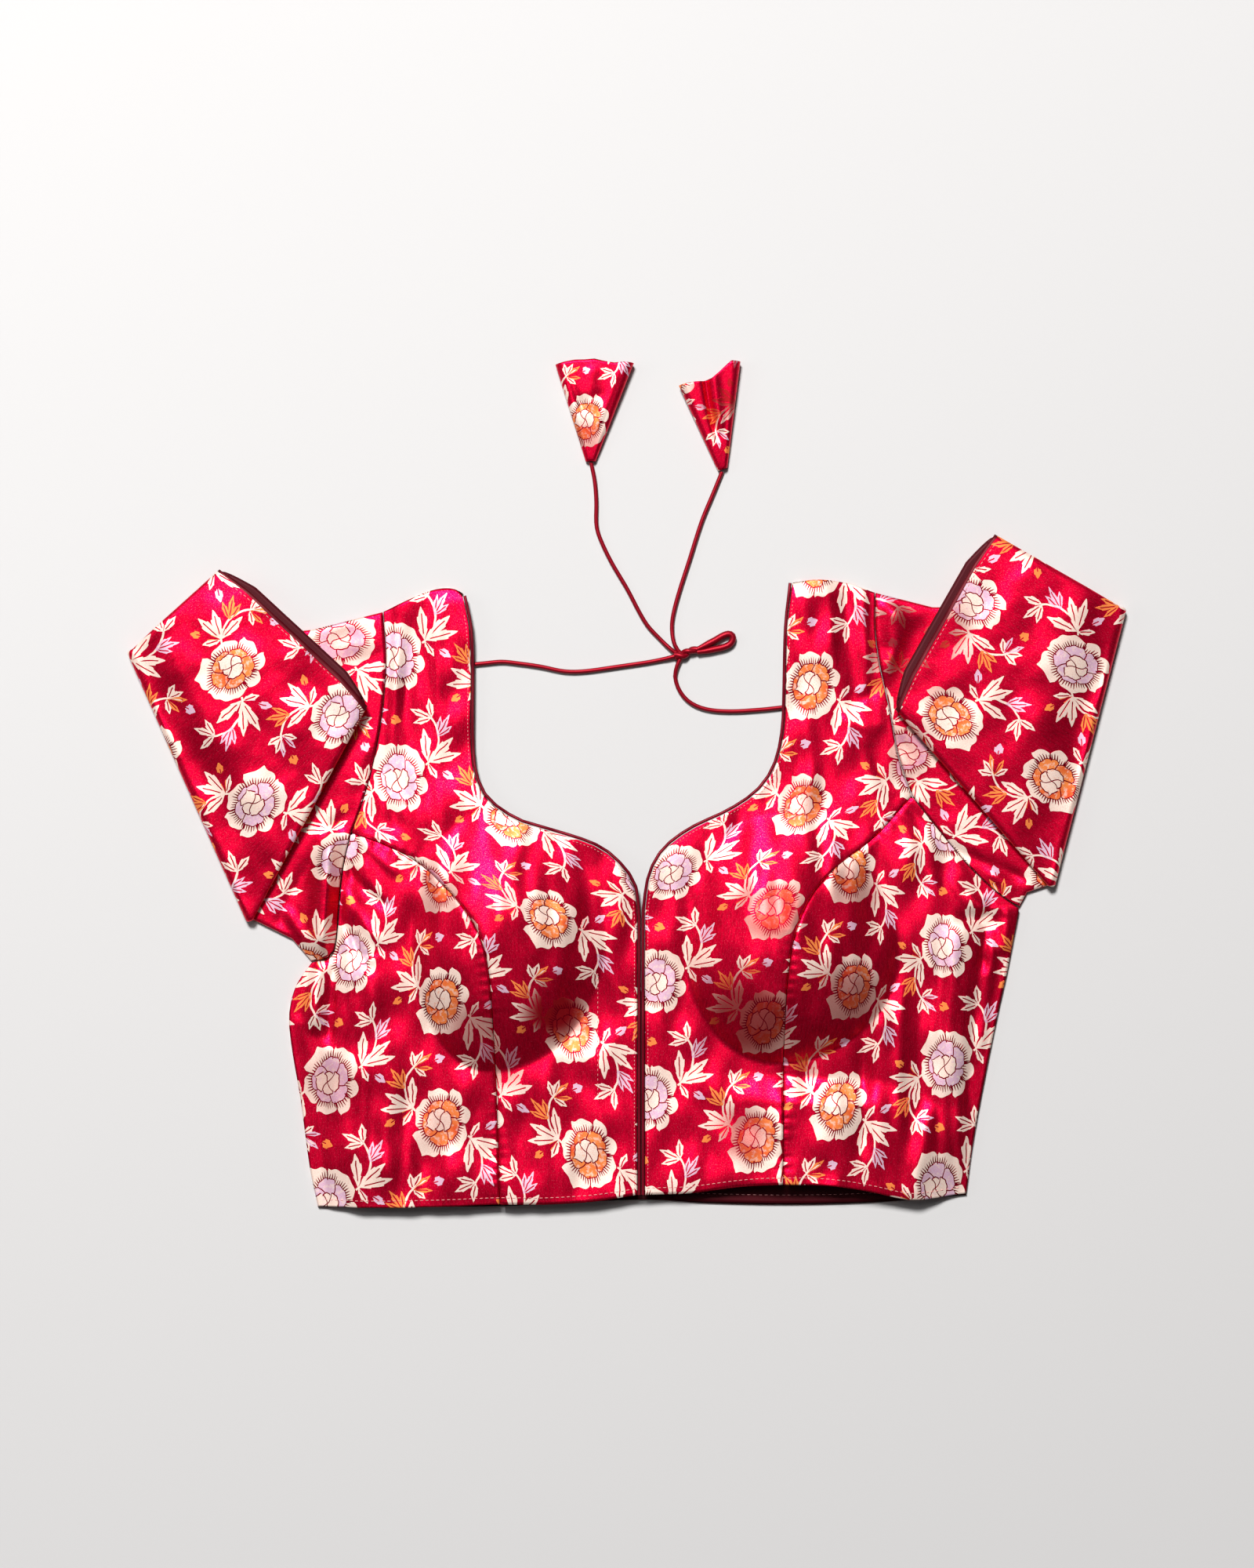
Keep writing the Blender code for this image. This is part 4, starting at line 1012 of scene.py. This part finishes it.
def makeSleeve(side, hand):
    cut, half, name = sleeveCuts[side], fold["half"], side.capitalize()
    out, rise = np.array([*cut.out, 0.0]), np.array([0, 0, 1.0])
    foldLine = np.array([cut.foldTop, cut.foldUnder]) - out[:2] * (foldRadius + half)
    hem = np.array([cut.hemTop, cut.hemUnder], float)
    armhole = shifted(armholeWhole(side)[::-1], -hand * (sewing["seamGap"] / 2 + sewing["armholeSlack"]))
    armhole[-1] += (0, sewing["underarmLift"])
    armhole = evenly(armhole, 41)
    stops = np.linspace(0, 1, len(armhole))
    sway = armhole - mixValues(armhole[0], armhole[-1], stops[:, None])
    run = hem[1] - hem[0]
    square = unit(np.array([-run[1], run[0]]))
    square = square * np.sign(square @ (hem - foldLine).sum(axis=0))
    flapShape = np.vstack([hem + square * fold["band"], foldLine[::-1]])

    def beyondFlap(x, y):  # distance outside the flap's outline
        away = -np.inf
        for a, b in zip(flapShape, np.roll(flapShape, -1, axis=0)):
            normal = unit(np.array([b[1] - a[1], a[0] - b[0]]))
            normal = normal * np.sign(normal @ (a - flapShape.mean(axis=0)))
            away = np.maximum(away, (x - a[0]) * normal[0] + (y - a[1]) * normal[1])
        return away

    def tapered(inside):  # the band at the hem narrows towards its ends
        return np.clip((inside - half) / (fold["taper"] - half), 0, 1) ** 0.7

    def lifted(plan, share):  # the flap stands off the layer below at its top and its underarm edge
        return (fold["lift"] * easeBetween(share, 0.62, 1.0)
                + fold["tilt"][side] * np.maximum(plan[..., 1] - cut.foldUnder[1], 0))

    def puffed(along, share):
        return fold["puff"] * easeBetween(along, -0.05, 0.4) * np.maximum(np.sin(math.pi * share), 0) ** 0.7

    def capHeight(x, y):
        lumps = np.maximum(foldsAt(capFolds[side], x, y), -1.5)
        return easeBetween(beyondFlap(x, y), 2, 12) * (lumps + uneven(x, y, 21, 30, 0.35) + uneven(x, y, 5, 12, 0.12))

    def flapHeight(x, y):
        lumps = foldsAt(flapFolds[side], x, y)
        return np.maximum(lumps + uneven(x, y, 33, 40, 0.4) + uneven(x, y, 11, 14, 0.10), -1.6)

    rings, overPlans, underPlans = [], [], []

    def addRing(start, end, base, normal, past, bow=None, along=None, move=0.0):
        # One section. past: cloth beyond it; bow: share of the armhole's curve; along: share of the flap
        width = np.linalg.norm(end - start)
        distance, lift, isOver, isUnder = flatRing(width, half, ringCount["across"])
        share, inside = distance / width, np.minimum(distance, width - distance)
        spot, bases = mixValues(start, end, share[:, None]), base + 0 * share
        if bow is not None:
            spot = spot + bow * np.column_stack([np.interp(share, stops, values) for values in sway.T])
        if along is not None:
            lead = fold["band"] * easeBetween(along, 0.6, 1.0) * tapered(inside)
            lead = lead * mixValues(fold["strip"] / fold["band"], 1.0, easeBetween(lift, -half, half))
            spot = spot + square * lead[:, None]
            bases = base + easeBetween(along, 0, 0.3) * lifted(spot, share)
            lift = lift - isUnder * puffed(along, share)
        place = np.column_stack([spot, bases]) + normal * lift[:, None] + move
        flat = easeBetween(inside, half, 9)
        if bow is not None:
            place[:, 2] += isOver * flat * capHeight(*place.T[:2])
        if along is not None:
            place[:, 2] += isUnder * flat * flapHeight(*place.T[:2])
        rings.append(place)
        overPlans.append(spot)
        underPlans.append(spot + out[:2] * past)

    guides = np.array([[*armhole[0], *armhole[-1], 1.0], [*cut.capTop, *cut.capUnder, fold["capBow"]],
                       [*foldLine.ravel(), 0.0]])
    for share in np.linspace(0, 1, ringCount["under"]):
        *ends, bow = (np.interp(share, (0, fold["capAt"], 1), values) for values in guides.T)
        start, end = np.reshape(ends, (2, 2))
        before = np.linalg.norm(start + end - foldLine.sum(axis=0)) / 2
        addRing(start, end, half, rise, math.pi * (foldRadius + half) + 2 * before, bow)
    for angle in np.radians(np.linspace(0, 180, ringCount["turn"] + 2)[1:-1]):
        cos, sin = math.cos(angle), math.sin(angle)
        addRing(*foldLine, half + foldRadius, rise * cos - out * sin, (math.pi - angle) * (foldRadius + half),
                move=(out * sin - rise * cos) * foldRadius)
    flapLong = np.linalg.norm((hem - foldLine).sum(axis=0)) / 2
    for along in np.append(np.linspace(0, 1 - fold["strip"] / flapLong, ringCount["flap"] - 1), 1.0):
        addRing(*mixValues(foldLine, hem, along), half + 2 * foldRadius, -rise, 0.0, along=along)

    places = np.array(rings)
    rows, around = places.shape[:2]
    faces = gridFaces(rows, around, around=True)[:, ::-hand]
    row, column = np.divmod(np.arange(len(faces)), around)
    overFace = (column < ringCount["across"] + 2) | (column >= around - 3)
    overCut = cutTurned(capCloth[side], np.concatenate(overPlans))
    underCut = cutTurned(flapCloth[side], np.concatenate(underPlans))
    corners = np.where(overFace[:, None, None], overCut[faces], underCut[faces])
    strip = np.where((row == rows - 2) & ~overFace, 2, 0)
    piece = clothPiece(f"sleeve{name}", places, faces, corners, sewing["sleeveWall"],
                       [brocadeCloth, liningCloth, hemSatin, liningCloth], faceMaterials=strip)
    declareSheet(dressed(piece, f"sleeve_{side}"))

    # Facing inside the hem: the maroon band that shows beyond the upper layer
    width = np.linalg.norm(run)
    share, down = np.linspace(0.05, 0.95, 60)[None, :], np.linspace(0, 1, 14)[:, None]
    reach = fold["band"] * tapered(np.minimum(share, 1 - share) * width)
    reach = reach - fold["facingBack"] - sewing["facingDepth"] * (1 - down)
    plan = hem[0] + run * share[..., None] + square * reach[..., None]
    height = 2 * foldRadius + sewing["sleeveWall"] + sewing["seamGap"] + lifted(plan, share)
    grid = np.concatenate([plan, height[..., None]], axis=-1)[:, ::hand]
    facing = clothGrid(f"sleeveFacing{name}", grid, grid[..., :2], sewing["facingWall"], [liningCloth], 1)
    dressed(facing, f"sleeve_hem_facing_{side}")
    declareSheet(facing)

    # Hem stitches on the flap, just inside its upper edge
    edge, inset = np.linspace(0.04, 0.96, 200), fold["stitchInset"]
    nearSide = tapered(np.minimum(edge, 1 - edge) * width)
    row = hem[0] + run * edge[:, None] + square * (fold["strip"] * (nearSide - 1) - inset)[:, None]
    height = 2 * half + 2 * foldRadius + puffed(1 - (inset + fold["strip"]) / flapLong, edge)
    height = height + flapHeight(*row.T) + lifted(row, edge) + sewing["threadRise"]
    addStitches(f"sleeveStitches{name}", np.column_stack([row, height]), "sleeve")


for blouseSide, blouseHand in sides.items():
    makeSleeve(blouseSide, blouseHand)
print("sleeves ready")


# Back panel, flat on the surface, and the facing turned up at its hem
back = {"neckInset": 4.5, "neckFrom": 285, "spacing": 4.0, "margin": 2.0, "deepest": 0.75, "facingFrom": 20,
        "facingTo": 174}
backFolds = [
    (-150, 20, -146, 120, 3, 0.9, 6), (-90, 16, -94, 100, -2, 0.7, 5), (-30, 20, -26, 90, 1, 0.8, 7),
    (46, 24, 52, 110, -3, 0.9, 6), (118, 18, 112, 126, 2, 0.8, 5), (170, 30, 180, 150, 4, 0.9, 7),
    (-196, 150, -120, 190, -5, 0.9, 5), (-186, 196, -116, 230, 3, 0.7, 5), (-138, 250, -140, 350, 2, 0.7, 4),
    (214, 176, 132, 204, 5, 0.9, 5), (176, 232, 110, 262, -3, 0.7, 5), (122, 280, 120, 372, -2, 0.7, 4),
]


def backBorder(side, hand):  # up the side and over the shoulder to the neck
    edge = np.vstack([drawn(sideSeam[side], 60), evenly(armholeWhole(side), 110)[1:]])
    neck = smoothLine(frontEdge[side])
    neck = shifted(evenly(neck[neck[:, 1] > back["neckFrom"]], 50), hand * back["neckInset"])
    edge = shifted(edge, -hand * sewing["seamGap"] / 2)[1:]
    return np.vstack([edge, drawn(shoulder[side][::-1], 22)[1:-1], neck[::-1]])


def insideOutline(x, y, outline):
    crossings = np.zeros(len(x), int)
    for (ax, ay), (bx, by) in zip(outline, np.roll(outline, -1, axis=0)):
        if ay != by:
            crossings += ((ay > y) != (by > y)) & (x < (bx - ax) * (y - ay) / (by - ay) + ax)
    return crossings % 2 == 1


def makeBack():
    # Slab with a flat top; its underside has the shallow hollows of cloth that lies on creases
    left, right = (backBorder(side, hand) for side, hand in sides.items())
    neckLow = smoothLine([left[-1], *backNeckLow], 14)[1:-1]
    outline = np.vstack([drawn(backHem, 90), left, neckLow, right[::-1]])
    gx, gy = np.meshgrid(np.arange(-222, 240, back["spacing"]), np.arange(-2, 394, back["spacing"] * 0.87))
    gx = gx + (np.arange(gx.shape[0])[:, None] % 2) * back["spacing"] / 2
    inner = np.column_stack([gx.ravel(), gy.ravel()])
    inner = inner[insideOutline(*inner.T, outline)]
    inner = inner[nearestOn(inner, outline)[0] > back["margin"]]
    count = len(outline)
    found = delaunay_2d_cdt([Vector(spot) for spot in np.vstack([outline, inner])],
                            [(k, (k + 1) % count) for k in range(count)], [], 1, 1e-5)
    spots, triangles = np.array([tuple(spot) for spot in found[0]]), np.array(found[2])
    total = len(spots)
    hollow = foldsAt(backFolds, *spots.T) + np.abs(uneven(*spots.T, 44, 36, 0.12))
    hollow = np.clip(hollow, 0, back["deepest"]) * easeBetween(nearestOn(spots, outline)[0], 1, 8)
    points = np.column_stack([np.vstack([spots, spots]), np.append(hollow, np.full(total, sewing["backWall"]))])
    order = [found[3].index([k]) if [k] in found[3] else k for k in range(count)]
    rim = [(a, b, b + total, a + total) for a, b in zip(order, order[1:] + order[:1])]
    a, b, c = (spots[triangles[:, k]] for k in range(3))
    up = np.where((np.cross(b - a, c - a) > 0)[:, None], triangles, triangles[:, ::-1])
    faces = (up + total).tolist() + up[:, ::-1].tolist() + rim
    corners = [(-points[k][0], points[k][1]) for face in faces for k in face]
    piece = newPiece("backPanel", points, faces, [brocadeCloth, liningCloth], corners,
                     [1] * len(up) + [0] * (len(up) + len(rim)))
    x, y = outline.T
    area = abs(np.sum(x * np.roll(y, -1) - y * np.roll(x, -1))) / 2
    declareSheet(dressed(piece, "back"), area * mm * mm)


def makeBackFacing():
    line = smoothLine(backHem[::-1])
    line = evenly(line[(line[:, 0] > back["facingFrom"]) & (line[:, 0] < back["facingTo"])], 90)
    low, deep = sewing["backWall"] + sewing["seamGap"], sewing["facingDepth"]
    grid = np.array([[(x, y + rise, low) for x, y in line] for rise in np.linspace(sewing["facingSet"], deep, 12)])
    facing = clothGrid("backHemFacing", grid, grid[..., :2], sewing["facingWall"], [liningCloth], 1)
    dressed(facing, "back_hem_facing")
    declareSheet(facing)
    row = [(x, y + sewing["facingRow"], low + sewing["facingWall"]) for x, y in line[3:-3]]
    addStitches("backHemStitches", np.array(row), "facing")


makeBack()
makeBackFacing()
print("back ready")

# Fabric cones at the ends of the tails: flattened, open at the wide end
Latkan = namedtuple("Latkan", "tip mouthLeft mouthRight edge folds cloth scale")
latkans = {
    "left": Latkan((-31.5, 466), (-53.5, 526), (-4.5, 527), [0, 1.6, 2.6, 2.6, 3.0, 1.4, 0.3, 0.8, 0],
                   [(-47, 520, -36, 498, 1, -1.1, 2.6), (-12, 522, -26, 488, -1, 1.0, 3.0),
                    (-30, 524, -31, 500, 1, 0.8, 4.0), (-40, 503, -24, 508, 1, -0.6, 3.0)],
                   ((-34, 491), 88.0), 1.28),
    "right": Latkan((51, 461), (23.5, 513), (62, 528), [0, -0.6, -1.6, -3.2, -3.4, -1.6, 0.6, 2.6, 0],
                    [(39.5, 520, 47, 482, 0.6, -3.0, 2.0), (45.5, 520, 50, 486, 0.4, 1.2, 2.6),
                     (59, 512, 55, 480, 0, -0.6, 2.4)],
                    ((18, 516), 52.0), 1.2),
}
cone = {"tipHalf": 2.1, "tipWidth": 6.2, "mouthHalf": 4.4, "wall": 1.0, "room": 2.6, "rings": 44, "across": 32}


def makeLatkan(side):
    cut = latkans[side]
    tip, left, right = (np.array(spot, float) for spot in (cut.tip, cut.mouthLeft, cut.mouthRight))
    across = unit(right - left)
    up, aside = np.array([-across[1], across[0]]), across * cone["tipWidth"] / 2
    rings = []
    for share in np.linspace(0, 1, cone["rings"]):
        half = mixValues(cone["tipHalf"], cone["mouthHalf"], share ** 0.7)
        a, b = mixValues(tip - aside, left, share), mixValues(tip + aside, right, share)
        width = np.linalg.norm(b - a)
        distance, lift, isTop, isUnder = flatRing(width, half, cone["across"])
        bend = np.interp(distance / width, np.linspace(0, 1, len(cut.edge)), cut.edge) * share ** 8
        spot = a + (b - a) / width * distance[:, None] + up * bend[:, None]
        lumps = foldsAt(cut.folds, *spot.T) * easeBetween(np.minimum(distance, width - distance), half, half + 5)
        rings.append(np.column_stack([spot, half + lift + isTop * np.maximum(lumps, cone["room"] - 2 * half)]))
    places = np.array(rings)
    faces = gridFaces(*places.shape[:2], around=True)
    uvs = cut.scale * cutTurned(cut.cloth, places[..., :2]).reshape(-1, 2)[faces]
    piece = clothPiece(f"latkan{side.capitalize()}", places, faces, uvs, cone["wall"], [brocadeCloth, liningCloth])
    declareSheet(dressed(piece, f"latkan_{side}"))


for blouseSide in sides:
    makeLatkan(blouseSide)
print("cones ready")


# Lights, floor and world
studio = {
    "key": {"from": (-0.80, 2.62, 3.9), "size": 1.1, "power": 352, "colour": (1, 0.98, 0.97)},
    "overhead": {"from": (-0.3, 0.85, 2.1), "size": 0.9, "power": 6, "colour": (1, 0.98, 0.97)},
    "fill": {"from": (0.7, -0.9, 1.9), "size": 1.2, "power": 1, "colour": (1, 0.98, 0.98)},
    "side": {"from": (-1.5, 0.3, 0.9), "size": 0.8, "power": 3, "colour": (1, 0.98, 0.98)},
}
surround = {"world": 0.025, "tint": (0.9, 0.9, 0.92, 1), "floor": (0.56, 0.56, 0.56, 1), "half": 6.0,
            "below": -0.0004}

for lampName, lamp in studio.items():
    light = bpy.data.lights.new(f"{lampName}Light", "AREA")
    light.shape, light.size, light.energy, light.color = "DISK", lamp["size"], lamp["power"], lamp["colour"]
    stand = inScene(f"{lampName}Light", light)
    stand.location = lamp["from"]
    stand.rotation_euler = Vector(lamp["from"]).to_track_quat("Z", "Y").to_euler()
world = bpy.data.worlds.new("studio")
world.use_nodes = True
for socket, value in zip(world.node_tree.nodes["Background"].inputs, (surround["tint"], surround["world"])):
    socket.default_value = value
bpy.context.scene.world = world

floorMesh = bpy.data.meshes.new("floor")
floorMesh.from_pydata([(x * surround["half"], y * surround["half"], surround["below"])
                       for x, y in ((-1, -1), (1, -1), (1, 1), (-1, 1))], [], [(0, 1, 2, 3)])
floorMesh.materials.append(newMaterial("paleFloor", surround["floor"], 0.85)[0])
inScene("floor", floorMesh)

print("scene ready")
